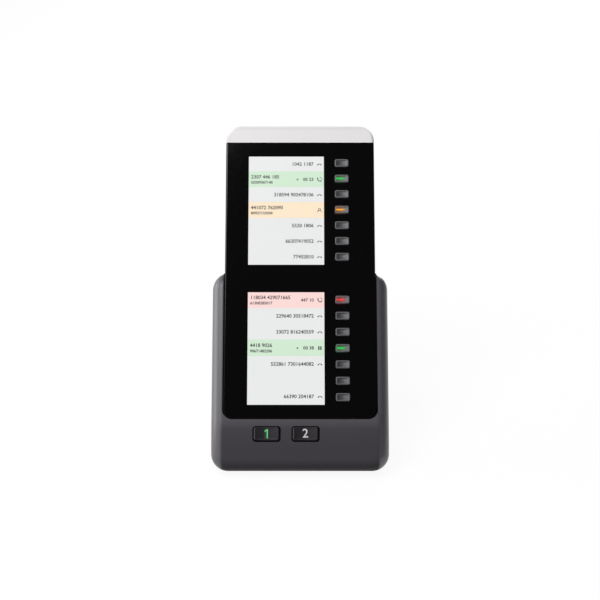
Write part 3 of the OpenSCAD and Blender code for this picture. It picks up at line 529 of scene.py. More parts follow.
def islands(node, toLocal):
    # the separate solids of a CAD part: lowest and highest corner of each, in a frame of its own
    work = bmesh.new()
    work.from_mesh(frame["nodes"][node].data)
    bmesh.ops.remove_doubles(work, verts=work.verts, dist=weld)
    left, found = set(work.verts), []
    while left:
        queue, island = [left.pop()], []
        while queue:
            vert = queue.pop()
            island.append(toLocal @ vert.co)
            near = {edge.other_vert(vert) for edge in vert.link_edges} & left
            left -= near
            queue += near
        corners = ([pick(spot[i] for spot in island) for i in range(3)] for pick in (min, max))
        found.append(tuple(Vector(corner) for corner in corners))
    work.free()
    return sorted(found, key=lambda box: tuple(round(c, 2) for c in box[0]))


shoulder = {
    "from": 122.0,  # up the face
    "to": 129.5,
    "raise": 1.4,
}
# CAD part: finish, slot of the record
housing = {
    "front_shell": ("shell", "shell_plastic"),
    "rear_cover": ("cover", "cover_plastic"),
    "head_cover": ("cover", "cover_plastic"),
    "top_cap": ("cap", "cap_plastic"),
    "panel_frame": ("frame", "frame_plastic"),
    "port_cover": ("cover", "cover_plastic"),
    "port_left": ("portBlack", "port_plastic"),
}


def raiseShoulder(mesh):
    # the rounded shoulders stand a little higher, the rest stays
    for vert in mesh.vertices:
        spot = worldToFace @ vert.co
        lift = shoulder["raise"] * progress(spot.y, shoulder["from"], shoulder["to"])
        vert.co = facePoint(spot.x, spot.y + lift, spot.z)


for node, (slot, recordSlot) in housing.items():
    skin = smoothSkin(node, slot)
    weighNormals(skin)
    if node in ("front_shell", "rear_cover"):
        raiseShoulder(skin.data)
    settle(skin, root, recordSlot, node)


standLook = {
    "corner": 4.0,  # radius in its window
    "cornerLength": (2, 4),  # wall thickness that marks the window's corner edges
    "cornerReach": 25,  # they lie within this of the middle
    "cornerTurn": 80,  # degrees
    "edge": 0.5,  # radius of every other edge
    "edgeTurn": 36,
    "edgeLength": 1.2,
    "sharp": 40,
}


def isWindowCorner(edge):
    if len(edge.link_faces) != 2 or edge.is_convex:
        return False
    first, second = (vert.co.x for vert in edge.verts)
    low, high = standLook["cornerLength"]
    upright = abs(first - second) < 0.01 and abs(first + second) / 2 < standLook["cornerReach"]
    turned = edge.calc_face_angle(0) > radians(standLook["cornerTurn"])
    return turned and upright and low < edge.calc_length() < high


def isEdge(edge):
    turned = len(edge.link_faces) == 2 and edge.calc_face_angle(0) > radians(standLook["edgeTurn"])
    return turned and edge.calc_length() > standLook["edgeLength"]


def roundStand():
    # the moulded stand: window corners rounded first, then every edge
    stand = smoothSkin("stand", "cover")
    with reworked(stand.data) as work:
        work.transform(Matrix.Scale(1 / mm, 4))
        bmesh.ops.dissolve_limit(work, angle_limit=radians(1), verts=work.verts, edges=work.edges)
        for test, radius, segments, clamp in (
            (isWindowCorner, standLook["corner"], 6, False),
            (isEdge, standLook["edge"], 3, True),
        ):
            picked = [edge for edge in work.edges if test(edge)]
            bmesh.ops.bevel(
                work, geom=picked, offset=radius, segments=segments, profile=0.5, affect="EDGES",
                clamp_overlap=clamp,
            )
        work.transform(Matrix.Scale(mm, 4))
        smoothFaces(work, standLook["sharp"])
    weighNormals(stand)
    settle(stand, root, "cover_plastic", "stand")


roundStand()


def faceBlock(name, middle, size, bevel=0.0):
    # box in face millimetres; the bevel runs along its edges up the face
    mesh = bpy.data.meshes.new(name)
    with reworked(mesh) as work:
        bmesh.ops.create_cube(work, size=1.0)
        for vert in work.verts:
            vert.co = Vector(middle) + vert.co * Vector(size)
        if bevel:
            edges = [edge for edge in work.edges if abs(edge.verts[0].co.y - edge.verts[1].co.y) > 1]
            bmesh.ops.bevel(work, geom=edges, offset=bevel, segments=3, affect="EDGES")
        bmesh.ops.recalc_face_normals(work, faces=work.faces)
    mesh.transform(faceToWorld)
    return mesh


seal = {
    "x": 48.55,
    "v": 85.9,
    "out": -5.8,
    "size": (0.7, 87.8, 6.4),
    "bevel": 0.2,
}
# thin black foam strips that close the gap between the panel and the shell; they also stand in for the shade
# in that gap
for name, side in (("dustSealLeft", -1), ("dustSealRight", 1)):
    across, along, deep = seal["size"]
    middle = (side * seal["x"], seal["v"], seal["out"])
    strip = faceBlock(name, middle, (side * across, along, deep), seal["bevel"])
    settle(newPiece(name, strip, "foam"), root, "foam")
print("housing skinned")


def shownMesh(piece):
    # what is seen of a piece, as a plain mesh
    bpy.context.view_layer.update()
    return bpy.data.meshes.new_from_object(piece.evaluated_get(bpy.context.evaluated_depsgraph_get()))


def applied(piece):
    # its modifiers become its mesh
    mesh = shownMesh(piece)
    piece.modifiers.clear()
    piece.data = mesh
    return mesh


class Growth(NodeSheet):
    # a geometry node tree with named inputs, which ends in one realized and dressed mesh
    kinds = {float: "Float", int: "Int", type(None): "Object"}

    def __init__(self, name, **sizes):
        super().__init__(bpy.data.node_groups.new(name, "GeometryNodeTree"))
        self.sizes, self.names = sizes, {}
        self.take("Geometry", "Geometry")
        self.tree.interface.new_socket("Geometry", in_out="OUTPUT", socket_type="NodeSocketGeometry")
        for label, value in sizes.items():
            self.take(label, self.kinds[type(value)], value)
        self.take("finish", "Material")
        self.start = self.tree.nodes.new("NodeGroupInput")

    def take(self, label, kind, value=None):
        socket = self.tree.interface.new_socket(label, in_out="INPUT", socket_type="NodeSocket" + kind)
        if value is not None:
            socket.default_value = value
        self.names[label] = socket.identifier

    def given(self, *labels):
        flows = [Flow(self, self.start.outputs[label]) for label in labels]
        return flows if len(labels) > 1 else flows[0]

    def geo(self, kind, settings=None, output=0, **values):
        return self.node("GeometryNode" + kind, settings, spaced(values), output)

    def vector(self, x=0.0, y=0.0, z=0.0):
        return self.node("ShaderNodeCombineXYZ", values={"X": x, "Y": y, "Z": z})

    def moved(self, geometry, x=0.0, y=0.0, z=0.0):
        return self.geo("Transform", Geometry=geometry, Translation=self.vector(x, y, z))

    def joined(self, *parts):
        return self.node("GeometryNodeJoinGeometry", values={0: list(parts)})

    def ring(self, radius, count):
        return self.geo("CurvePrimitiveCircle", output="Curve", Resolution=count, Radius=radius)

    def waved(self, curve, lobes, depth):
        # a ring whose radius swells and shrinks
        along = self.geo("SplineParameter", output="Factor")
        swell = 1 + (along * lobes * (2 * pi)).wave() * depth
        spot = self.geo("InputPosition")
        place = self.node("ShaderNodeVectorMath", {"operation": "SCALE"}, {0: spot, "Scale": swell})
        return self.geo("SetPosition", Geometry=curve, Position=place)

    def filled(self, *curves):
        return self.geo("FillCurve", Curve=self.joined(*curves))

    def swept(self, curve, section):
        return self.geo("CurveToMesh", Curve=curve, Profile_Curve=section, Fill_Caps=True)

    def raised(self, sheet, height):
        # walls and end face over a flat sheet
        return self.geo(
            "ExtrudeMesh", Mesh=sheet, Offset=self.vector(z=height), Offset_Scale=1.0, Individual=False
        )

    def tube(self, low, high, length, count):
        # open wall of a cone that rises from z = 0
        return self.geo(
            "MeshCone", {"fill_type": "NONE"},
            Vertices=count, Radius_Top=high, Radius_Bottom=low, Depth=length,
        )

    def rowOf(self, geometry, count, x=0.0, y=0.0):
        line = self.geo("MeshLine", Count=count, Offset=self.vector(x, y))
        return self.geo("InstanceOnPoints", Points=line, Instance=geometry)

    def close(self, geometry):
        # one copy on each point of the mesh that carries the tree
        copies = self.geo("InstanceOnPoints", Points=self.given("Geometry"), Instance=geometry)
        solid = self.geo("RealizeInstances", Geometry=copies)
        dressed = self.geo("SetMaterial", Geometry=solid, Material=self.given("finish"))
        self.node("NodeGroupOutput", values={"Geometry": dressed})

    def grow(self, name, slot, spots, toWorld=faceToWorld, sharp=crease, **sizes):
        # plain mesh of what the tree makes on these points
        piece = newPiece(name, meshFromPoints(name, spots, []))
        modifier = piece.modifiers.new("grow", "NODES")
        modifier.node_group = self.tree
        for label, value in {**self.sizes, **sizes, "finish": finishes[slot]}.items():
            modifier[self.names[label]] = value
        mesh = applied(piece)
        mesh.name = name
        mesh.transform(toWorld)
        outwards(mesh)
        soften(mesh, sharp)
        return piece


def growOn(tree, node, name, slot, recordSlot, fitted, toWorld=faceToWorld):
    # a grown set takes the place of a CAD part's solids; fitted: which sizes are what share of theirs
    boxes = islands(node, toWorld.inverted())
    spots = [((low.x + high.x) / 2, (low.y + high.y) / 2, low.z) for low, high in boxes]
    size = boxes[0][1] - boxes[0][0]
    sizes = {label: size[axis] * share for label, (axis, share) in fitted.items()}
    settle(tree.grow(name, slot, spots, toWorld, **sizes), root, recordSlot, node)


def makeStamp():
    # copies a master mesh to a spot
    tree = Growth("stamp", master=None)
    tree.close(tree.geo("ObjectInfo", output="Geometry", Object=tree.given("master")))
    return tree


stamp = makeStamp()


caseScrew = {
    "headRadius": 2.0,  # the solid gives this and the length
    "headHeight": 1.6,
    "bevel": 0.35,
    "recess": 0.42,  # shares of the head's radius
    "shank": 0.55,
    "recessDepth": 0.9,
    "length": 14.0,
    "lobes": 6,
    "lobeDepth": 0.16,
    "sides": 36,
}


def makeCaseScrews():
    tree = Growth("lobedScrew", **caseScrew)
    radius, height, bevel, sides = tree.given("headRadius", "headHeight", "bevel", "sides")
    shank = radius * tree.given("shank")
    lobes = tree.ring(radius * tree.given("recess"), sides * 2)
    star = tree.waved(lobes, tree.given("lobes"), tree.given("lobeDepth"))
    shankEnd = tree.filled(tree.ring(shank, sides))
    tree.close(tree.joined(
        tree.filled(tree.ring(radius - bevel, sides), star),
        tree.raised(tree.filled(star), tree.given("recessDepth")),
        tree.tube(radius - bevel, radius, bevel, sides),
        tree.moved(tree.tube(radius, radius, height - bevel, sides), z=bevel),
        tree.moved(tree.filled(tree.ring(radius, sides), tree.ring(shank, sides)), z=height),
        tree.moved(tree.raised(shankEnd, tree.given("length") - height), z=height),
    ))
    fitted = {"headRadius": (0, 0.5), "length": (2, 1)}
    growOn(tree, "case_screws", "caseScrewSet", "steel", "screw_steel", fitted)


insert = {
    "outer": 2.2,  # the solid gives this and the length
    "bore": 1.25,
    "length": 5.0,
    "teeth": 24,
    "knurl": 0.035,
}


def makeLinkInserts():
    tree = Growth("knurledInsert", **insert)
    radius, teeth = tree.given("outer", "teeth")
    outer = tree.waved(tree.ring(radius, teeth * 6), teeth, tree.given("knurl"))
    ringFace = tree.filled(outer, tree.ring(tree.given("bore"), 32))
    tree.close(tree.joined(ringFace, tree.raised(ringFace, tree.given("length"))))
    fitted = {"outer": (0, 0.5 / (1 + insert["knurl"])), "length": (2, 1)}
    growOn(tree, "link_inserts", "linkInsertSet", "brass", "brass", fitted)


contactRow = {
    "count": 10,
    "pitch": 1.5,
    "width": 0.8,
    "thick": 0.25,
    "length": 4.0,
    "spring": 1.1,  # how far the middle bows into the slot
}
contactPlace = {
    "inset": 0.35,  # from the mouth of the port
    "wall": 0.9,
}


def makeContacts():
    # two facing rows of sprung contacts in the open port
    tree = Growth("contactRow", **contactRow)
    length = tree.given("length")
    bow = tree.geo(
        "CurveQuadraticBezier", Resolution=10, Start=tree.vector(),
        Middle=tree.vector(x=tree.given("spring") * 2, z=length / 2), End=tree.vector(z=length),
    )
    strip = tree.geo("CurvePrimitiveQuadrilateral", Width=tree.given("width"), Height=tree.given("thick"))
    tree.close(tree.rowOf(tree.swept(bow, strip), tree.given("count"), y=tree.given("pitch")))
    low, high = islands("port_left", worldToFace)[0]
    start = (low.y + high.y) / 2 - contactRow["pitch"] * (contactRow["count"] - 1) / 2
    level = low.z + contactPlace["inset"]
    inwards = contactPlace["wall"] + contactRow["thick"] / 2
    for name, x, way in (("contactsInner", high.x - inwards, -1), ("contactsOuter", low.x + inwards, 1)):
        row = tree.grow(name, "gold", [(x, start, level)], spring=way * contactRow["spring"])
        settle(row, root, "brass")


gauze = {
    "width": 48.0,
    "height": 17.0,
    "pitch": 1.25,
    "wire": 0.16,
}
gauzePlace = {
    "drop": 31.8,  # of the vents, below the top of the glass
    "wall": 2.4,  # inside the back of the cover
}


def makeGauze():
    # woven dust gauze behind the vents
    tree = Growth("wireGauze", **gauze)
    width, height, pitch, wire = tree.given("width", "height", "pitch", "wire")
    section = tree.ring(wire, 6)

    def strand(end, z):
        return tree.swept(tree.geo("CurvePrimitiveLine", Start=tree.vector(z=z), End=end), section)

    up = tree.rowOf(strand(tree.vector(y=height), 0.0), width / pitch + 1, x=pitch)
    across = tree.rowOf(strand(tree.vector(x=width, z=wire * 2), wire * 2), height / pitch + 1, y=pitch)
    tree.close(tree.joined(up, across))
    low = min((worldToFace @ vert.co).z for vert in frame["nodes"]["head_cover"].data.vertices)
    middle = face["top"] - gauzePlace["drop"]
    spot = (-gauze["width"] / 2, middle - gauze["height"] / 2, low + gauzePlace["wall"])
    settle(tree.grow("ventGauze", "gauze", [spot], sharp=70.0), root, "rubber_black")


pad = {
    "width": 14.0,  # the solids give the first three for each set
    "depth": 14.0,
    "height": 1.5,
    "corner": 1.6,
    "rib": 0.45,
    "ribPitch": 1.5,
    "margin": 0.9,
}


def makePads():
    # rubber pads on ribs, one tree for the stand's pads and the front feet
    tree = Growth("ribbedPad", **pad)
    width, depth, rib, pitch, margin = tree.given("width", "depth", "rib", "ribPitch", "margin")
    outline = tree.geo("CurvePrimitiveQuadrilateral", Width=width, Height=depth)
    corner = {"Radius": tree.given("corner"), "Count": 6, "Limit_Radius": True}
    sole = tree.filled(tree.geo("FilletCurve", {"mode": "POLY"}, Curve=outline, **corner))
    slab = tree.moved(tree.joined(sole, tree.raised(sole, tree.given("height") - rib)), z=rib)
    ends = tree.vector(x=margin - width / 2), tree.vector(x=width / 2 - margin)
    bar = tree.swept(tree.geo("CurvePrimitiveLine", Start=ends[0], End=ends[1]), tree.ring(rib, 12))
    ribs = tree.rowOf(tree.moved(bar, z=rib), (depth - margin * 2) / pitch + 1, y=pitch)
    tree.close(tree.joined(slab, tree.moved(ribs, y=margin - depth / 2)))
    fitted = {"width": (0, 1), "depth": (1, 1), "height": (2, 1)}
    for node, name in (("stand_pads", "standPadSet"), ("front_feet", "frontFootSet")):
        growOn(tree, node, name, "rubber", "rubber_black", fitted, deskToWorld)


makeCaseScrews()
makeLinkInserts()
makeContacts()
makeGauze()
makePads()
print("repeated parts grown")


glassEdge = {
    "halfWidth": 47.85,
    "bottom": 34.8,
    "corner": 5.7,
    "radius": 0.7,
    "sides": 0.45,  # share of that radius that the sides keep
    "foot": 0.15,
    "footEnds": 40.0,
    "sidesStart": 50.0,
    "slack": 0.05,
    "step": 0.01,
    "cutDepth": 6.0,
    "polished": 0.93,  # faces turned further from the front than this are ground, not polished
}


def glassInset(x, v):
    # distance of a point from the outline of the glass, inwards
    corner = glassEdge["corner"]
    reachX = abs(x) - (glassEdge["halfWidth"] - corner)
    reachV = glassEdge["bottom"] + corner - v
    if reachV <= 0:
        return glassEdge["halfWidth"] - abs(x)
    if reachX <= 0:
        return corner - reachV
    return corner - sqrt(reachX ** 2 + reachV ** 2)


def sharpenEdge(mesh):
    # pull the rounded edge in towards its corner line
    step, reach = glassEdge["step"], glassEdge["radius"] + glassEdge["slack"]
    for vert in mesh.vertices:
        x, v, out = worldToFace @ vert.co
        inset = glassInset(x, v)
        if inset > reach or out < -reach or v > face["top"] - step:
            continue
        share = progress(v, glassEdge["footEnds"], glassEdge["sidesStart"])
        kept = glassEdge["foot"] + (glassEdge["sides"] - glassEdge["foot"]) * share
        slopeX = (glassInset(x + step, v) - inset) / step
        slopeV = (glassInset(x, v + step) - inset) / step
        move = max(0.0, inset) * (kept - 1)
        vert.co = facePoint(x + slopeX * move, v + slopeV * move, out * kept)


def makeGlass():
    glass = smoothSkin("front_lens", "glass")
    sharpenEdge(glass.data)
    blocks = []
    size = (face["windowWidth"], face["windowHeight"], glassEdge["cutDepth"])
    for name, v in (("upperCut", face["upperWindow"]), ("lowerCut", face["lowerWindow"])):
        blocks.append(link(name, faceBlock(name, (face["windowX"], v, 0), size)))
        cut = glass.modifiers.new("windowCut", "BOOLEAN")
        cut.operation, cut.solver, cut.object = "DIFFERENCE", "EXACT", blocks[-1]
    mesh = applied(glass)
    for block in blocks:
        bpy.data.objects.remove(block)
    mesh.materials.append(finishes["groundEdge"])
    for polygon in mesh.polygons:
        if polygon.normal.dot(faceOut) < glassEdge["polished"]:
            polygon.material_index = len(mesh.materials) - 1
    weighNormals(glass, 50)
    settle(glass, root, "lens_black", "front_lens")


makeGlass()
print("glass cut")


picture = {
    "spill": 0.35,  # a coloured row reaches this far over the row above
    "sunk": 0.04,  # below the face of the glass
    "thick": 1.3,
    "ink": 0.02,  # ink above the picture
    "margin": 1.5,
    "iconX": 45.8,  # middle of the icons, from the window's left
    "colonX": 31.6,  # mark between the digits of a time
    "labelRight": 42.0,
    "labelSize": 3.3,
    "timeSize": 2.97,
    "numberSize": 2.55,
    "callerUp": 1.7,  # above and below the middle of the row
    "numberUp": -2.0,
    "weight": 0.07,
}
# row colour, label at the right, icon, then caller and number at the left
upperRows = (
    ("paper", "1042 1187", "hook"),
    ("greenRow", "00 23", "call", "2307 446 185", "55209367140"),
    ("paper", "318594 902478106", "hook"),
    ("orangeRow", "", "person", "441072 762090", "80927133504"),
    ("paper", "5520 1806", "hook"),
    ("paper", "66307419052", "hook"),
    ("paper", "77452810", "hook"),
)
lowerRows = (
    ("redRow", "447 10", "call", "118034 429071665", "61300285017"),
    ("paper", "229640 30518472", "hook"),
    ("paper", "33072 816240559", "hook"),
    ("greenRow", "00 38", "pause", "4418 9026", "90671482206"),
    ("paper", "552861 7301644082", "hook"),
    ("paper", "", "blank"),
    ("paper", "66390 204187", "hook"),
)


def drawPicture(name, windowV, rows):
    # lit tile with one face per row on its front
    half = face["windowWidth"] / 2
    left, right = face["windowX"] - half, face["windowX"] + half
    top = windowV + face["windowHeight"] / 2
    bottom = top - face["windowHeight"]
    pitch = face["windowHeight"] / len(rows)
    front = -picture["sunk"]
    back = front - picture["thick"]
    order = list(litRows)
    verts, faces, slots = [], [], []
    spills = [0 if entry[0] == "paper" else picture["spill"] for entry in rows] + [0]
    for row, entry in enumerate(rows):
        upper = spills[row] if row else 0
        for v in (top - row * pitch + upper, top - (row + 1) * pitch + spills[row + 1]):
            verts += [(left, v, front), (right, v, front)]
        first = 4 * row
        faces.append((first, first + 2, first + 3, first + 1))
        slots.append(order.index(entry[0]))
    base = len(verts)
    verts += [(left, top, back), (right, top, back), (right, bottom, back), (left, bottom, back)]
    faces.append(tuple(range(base, base + 4)))
    outline = (0, 1, base - 1, base - 2)
    for side in range(4):
        after = (side + 1) % 4
        faces.append((outline[side], outline[after], base + after, base + side))
    mesh = meshFromPoints(name, verts, faces)
    mesh.transform(faceToWorld)
    piece = newPiece(name, mesh, *order)
    for polygon, slot in zip(mesh.polygons, slots):
        polygon.material_index = slot
    outwards(mesh)
    settle(piece, root, "display_face")


def textMesh(words, size, x, v, out, align, weight):
    data = bpy.data.curves.new("words", "FONT")
    data.body, data.size, data.offset = words, size, weight
    data.align_x, data.align_y = align, "CENTER"
    data.resolution_u = 3
    holder = link("words", data)
    mesh = shownMesh(holder)
    bpy.data.objects.remove(holder)
    mesh.transform(Matrix.Translation((x, v, out)))
    return mesh


def polyline(points, width):
    # flat stroke along points
    verts, faces = [], []
    for index, point in enumerate(points):
        way = Vector(points[min(index + 1, len(points) - 1)]) - Vector(points[max(index - 1, 0)])
        side = Vector((-way.y, way.x)).normalized() * width / 2
        verts += [Vector(point) + side, Vector(point) - side]
        if index:
            faces.append((2 * index - 2, 2 * index - 1, 2 * index + 1, 2 * index))
    return verts, faces


def arcPoints(x, v, radius, start, end, count=10):
    turns = [radians(start + (end - start) * i / count) for i in range(count + 1)]
    return [(x + radius * cos(turn), v + radius * sin(turn)) for turn in turns]


# points of each stroke from the middle of the icon, and the stroke's width
icons = {
    "blank": (),
    "hook": (
        (arcPoints(0, -1.3, 1.5, 32, 148), 0.42),
        (((-1.45, -0.45), (-0.7, -0.25)), 0.75),
        (((0.7, -0.25), (1.45, -0.45)), 0.75),
    ),
    "call": (
        (arcPoints(0.5, 0.6, 1.7, 170, 280), 0.55),
        (arcPoints(0.2, 0.3, 1.3, -30, 90), 0.28),
        (((-1.5, 0.5), (-0.8, 1.2)), 0.7),
        (((0.5, -1.3), (1.3, -0.7)), 0.7),
    ),
    "person": ((arcPoints(0, 0.55, 0.75, 0, 360, 16), 0.34), (arcPoints(0, -1.5, 1.35, 10, 170), 0.36)),
    "pause": ((((-0.65, -1.2), (-0.65, 1.2)), 0.85), (((0.65, -1.2), (0.65, 1.2)), 0.85)),
    "colon": ((((0, -0.5), (0, 0.5)), 0.9),),
}


def faceFront(mesh):
    # thin print shows its face to the front
    for polygon in mesh.polygons:
        if polygon.normal.dot(faceOut) < 0:
            polygon.flip()


def drawInk(name, windowV, rows):
    left = face["windowX"] - face["windowWidth"] / 2
    top = windowV + face["windowHeight"] / 2
    pitch = face["windowHeight"] / len(rows)
    out = picture["ink"] - picture["sunk"]
    mesh = bpy.data.meshes.new(name)

    def addWords(words, size, x, v, align):
        if words:
            letters = textMesh(words, size, x, v, out, align, picture["weight"])
            work.from_mesh(letters)
            bpy.data.meshes.remove(letters)

    def addIcon(kind, x, v):
        for points, width in icons[kind]:
            verts, faces = polyline(points, width)
            made = [work.verts.new((x + spot.x, v + spot.y, out)) for spot in verts]
            for indices in faces:
                work.faces.new([made[i] for i in indices])

    with reworked(mesh) as work:
        for row, (colour, label, icon, *caller) in enumerate(rows):
            middle = top - (row + 0.5) * pitch
            start = left + picture["margin"]
            if caller:
                addWords(caller[0], picture["labelSize"], start, middle + picture["callerUp"], "LEFT")
                addWords(caller[1], picture["numberSize"], start, middle + picture["numberUp"], "LEFT")
            size = picture["timeSize" if caller else "labelSize"]
            addWords(label, size, left + picture["labelRight"], middle, "RIGHT")
            addIcon(icon, left + picture["iconX"], middle)
            if colour == "greenRow":
                addIcon("colon", left + picture["colonX"], middle)
    mesh.transform(faceToWorld)
    faceFront(mesh)
    settle(newPiece(name, mesh, "ink"), root, "display_face")


displays = (("upper", face["upperWindow"], upperRows), ("lower", face["lowerWindow"], lowerRows))
for name, windowV, rows in displays:
    drawPicture(name + "Picture", windowV, rows)
for name, windowV, rows in displays:
    drawInk(name + "Ink", windowV, rows)
print("displays drawn")


lineKey = {
    "width": 8.9,
    "height": 5.2,
    "middle": 0.0,
    "lift": 0.25,  # above the middle of its opening
    "corner": 1.1,
    "leastCorner": 0.4,
    "rise": 1.2,
    "edge": 0.4,  # radius of the rim
    "dish": 0.5,
    "rim": 0.75,
    "slope": 0.45,
    "insets": (0.6, 0.75, 0.82, 0.9, 0.98, 1.06, 1.14, 1.22, 1.4, 1.7, 2.0, 2.25),
    "flange": 0.8,
    "flangeFront": -3.5,
    "flangeBack": -4.3,
    "steps": 6,
    "sides": 14,
    # the face goes from dark to light, partly smoke and partly painted shade of the hollow; the rim colour is
    # a painted highlight
    "dark": (56, 55, 58),
    "light": (112, 110, 114),
    "rimHighlight": (104, 102, 106),
    "worn": (60, 59, 62),
    "shadeSweep": (0.16, 0.84),  # ranges on the key's own map
    "rimAside": (0.37, 0.43),
    "rimAbove": (0.31, 0.4),
    "halo": (0.45, 0.8),
    "grain": 0.006,
}
lightBar = {
    "start": 0.5,  # from the key's left side
    "length": 5.9,
    "width": 1.05,
    "foot": -0.3,  # against the hollow of the key
    "top": 0.03,
    "flat": 0.85,  # share of its width that is flat
    "ends": (0.8, 0.4),  # what its ends keep of width and height
    "count": 16,
    "tip": (0.62, 0.9),  # ranges along the bar
    "smoke": (0.2, 0.7),
    # an unlit bar goes from dark to light, partly smoke and partly painted shade; clear is a painted
    # highlight at its tip
    "dark": (58, 57, 60),
    "light": (84, 83, 86),
    "clear": (118, 117, 120),
}
litKeys = {2: "Green", 4: "Orange", 8: "Red", 11: "Green"}
# of the light bar, then of the key round it
glowColours = {
    "": (None, None),
    "Green": ((44, 196, 78), (24, 92, 40)),
    "Orange": ((246, 160, 38), (128, 82, 26)),
    "Red": ((236, 50, 46), (122, 34, 34)),
}


def roundRect(halfWidth, halfHeight, radius, steps, sides):
    # outline from the right side's upper corner on, anticlockwise, with points along top and bottom
    points = []
    reachX, reachY = halfWidth - radius, halfHeight - radius
    for cornerX, cornerY, start in ((1, 1, 0), (-1, 1, 90), (-1, -1, 180), (1, -1, 270)):
        for step in range(steps + 1):
            turn = radians(start + 90 * step / steps)
            points.append((cornerX * reachX + radius * cos(turn), cornerY * reachY + radius * sin(turn)))
        if start in (0, 180):
            for step in range(1, sides):
                points.append((cornerX * reachX * (1 - 2 * step / sides), cornerY * halfHeight))
    return points


def ringMesh(name, rings, spread=None):
    # skin through rings of equal length; the last ring closes from its top row to its bottom row
    count = len(rings[0])
    verts = [point for ring in rings for point in ring]
    faces = [tuple(reversed(range(count)))]
    for base in range(0, len(verts) - count, count):
        for i in range(count):
            j = (i + 1) % count
            faces.append((base + i, base + j, base + count + j, base + count + i))
    last = len(verts) - count
    for i in range(count // 2 - 1):
        faces.append((last + i, last + i + 1, last + count - 2 - i, last + count - 1 - i))
    return meshFromPoints(name, verts, faces, spread)


def capRings(look, level):
    # from a key's flange over its rim into its hollow; level is the height of its face
    rings = []

    def addRing(inset, out):
        radius = max(look["corner"] - inset, look["leastCorner"])
        halfWidth, halfHeight = look["width"] / 2 - inset, look["height"] / 2 - inset
        points = roundRect(halfWidth, halfHeight, radius, look["steps"], look["sides"])
        rings.append([(x, look["middle"] + y, out(x, look["middle"] + y)) for x, y in points])

    addRing(-look["flange"], lambda x, v: look["flangeBack"])
    addRing(-look["flange"], lambda x, v: look["flangeFront"])
    addRing(0, lambda x, v: look["flangeFront"])
    for turn in range(0, 91, 15):
        inset, lower = (look["edge"] * (1 - way(radians(turn))) for way in (cos, sin))
        addRing(inset, lambda x, v: level(x, v, inset) - lower)
    for inset in look["insets"]:
        addRing(inset, lambda x, v: level(x, v, inset))
    return rings


def keyLevel(x, y, inset=0.0):
    # height of the key's face, hollow inside its rim
    reachX = lineKey["width"] / 2 - lineKey["rim"]
    reachY = lineKey["height"] / 2 - lineKey["rim"]
    across = max(0.0, 1 - (x / reachX) ** 2)
    slope = progress(reachY - abs(y), 0, lineKey["slope"])
    return lineKey["rise"] - lineKey["dish"] * sqrt(across) * slope * slope * (3 - 2 * slope)


def capSpread(look):
    # a cap's own map runs from 0 to 1 over its face
    return lambda co: (co.x / look["width"] + 0.5, (co.y - look["middle"]) / look["height"] + 0.5)


def barMesh(name):
    # strip that follows the hollow
    start, length = lightBar["start"] - lineKey["width"] / 2, lightBar["length"]
    half, foot, top, count = lightBar["width"] / 2, lightBar["foot"], lightBar["top"], lightBar["count"]
    flat = half * lightBar["flat"]
    rows = ((-half, foot), (-half, 0.0), (-flat, top), (flat, top), (half, 0.0), (half, foot))
    size = len(rows)
    verts, faces = [], []
    for i in range(count + 1):
        x = start + length * i / count
        narrow, low = (1, 1) if 0 < i < count else lightBar["ends"]
        verts += [(x, y * narrow, keyLevel(x, 0) + lift * low) for y, lift in rows]
        if i:
            a, b = (i - 1) * size, i * size
            faces += [(a + k, b + k, b + (k + 1) % size, a + (k + 1) % size) for k in range(size)]
    faces.append(tuple(range(size)))
    faces.append(tuple(count * size + k for k in reversed(range(size))))
    return meshFromPoints(name, verts, faces, lambda co: ((co.x - start) / length, co.y / half))


def makeKeyFinish(slot, glow):
    # satin key, smoked over its lamp; painted darker to the left and lighter to the right, partly that smoke
    # and partly painted shade of its hollow, with a painted highlight on the rim
    finish = Finish(slot, slot + "Plastic", Specular_IOR_Level=0.25)
    across, up = finish.pieceMap()
    speck, cloud = finish.noise(0.3), finish.noise(5.0)
    aside, above = (across - 0.5).size(), (up - 0.5).size()
    shadeSweep = finish.smooth(across, *lineKey["shadeSweep"])
    field = finish.blend(shadeSweep, shade(*lineKey["dark"]), shade(*lineKey["light"]))
    rim = finish.smooth(aside, *lineKey["rimAside"]).most(finish.smooth(above, *lineKey["rimAbove"]))
    base = finish.blend(rim, field, shade(*lineKey["rimHighlight"]))
    worn = finish.blend(cloud * 0.3 + speck * 0.2, base, shade(*lineKey["worn"]))
    finish.give(Base_Color=worn, Roughness=0.3 + speck * 0.12)
    finish.bump(speck, lineKey["grain"])
    if glow:
        halo = (1 - finish.smooth(across, *lineKey["halo"])) * (1 - rim * 0.75) * (1 - above * 1.1)
        finish.give(Emission_Color=finish.blend(halo, black, shade(*glow)), Emission_Strength=1.0)


def makeBarFinish(slot, glow):
    finish = Finish(slot, slot + "Plastic", Roughness=0.25, Specular_IOR_Level=0.4)
    across, up = finish.pieceMap()
    haze = finish.noise(1.0)
    tip = finish.smooth(across, *lightBar["tip"])
    if glow:
        lit = shade(*glow)
        finish.give(
            Emission_Color=finish.blend(tip, lit, toned(lit, 0.55)),
            Emission_Strength=0.95,
            Base_Color=finish.blend(haze, toned(lit, 0.2), toned(lit, 0.3)),
        )
    else:
        # smoke from dark to light, partly painted shade, then a painted highlight towards the tip
        dark, light, clear = (shade(*lightBar[tone]) for tone in ("dark", "light", "clear"))
        smoked = finish.blend(finish.smooth(across, *lightBar["smoke"]), dark, light)
        clear = finish.blend(tip, smoked, clear)
        finish.give(Base_Color=finish.blend(haze * 0.3, clear, shade(62)))


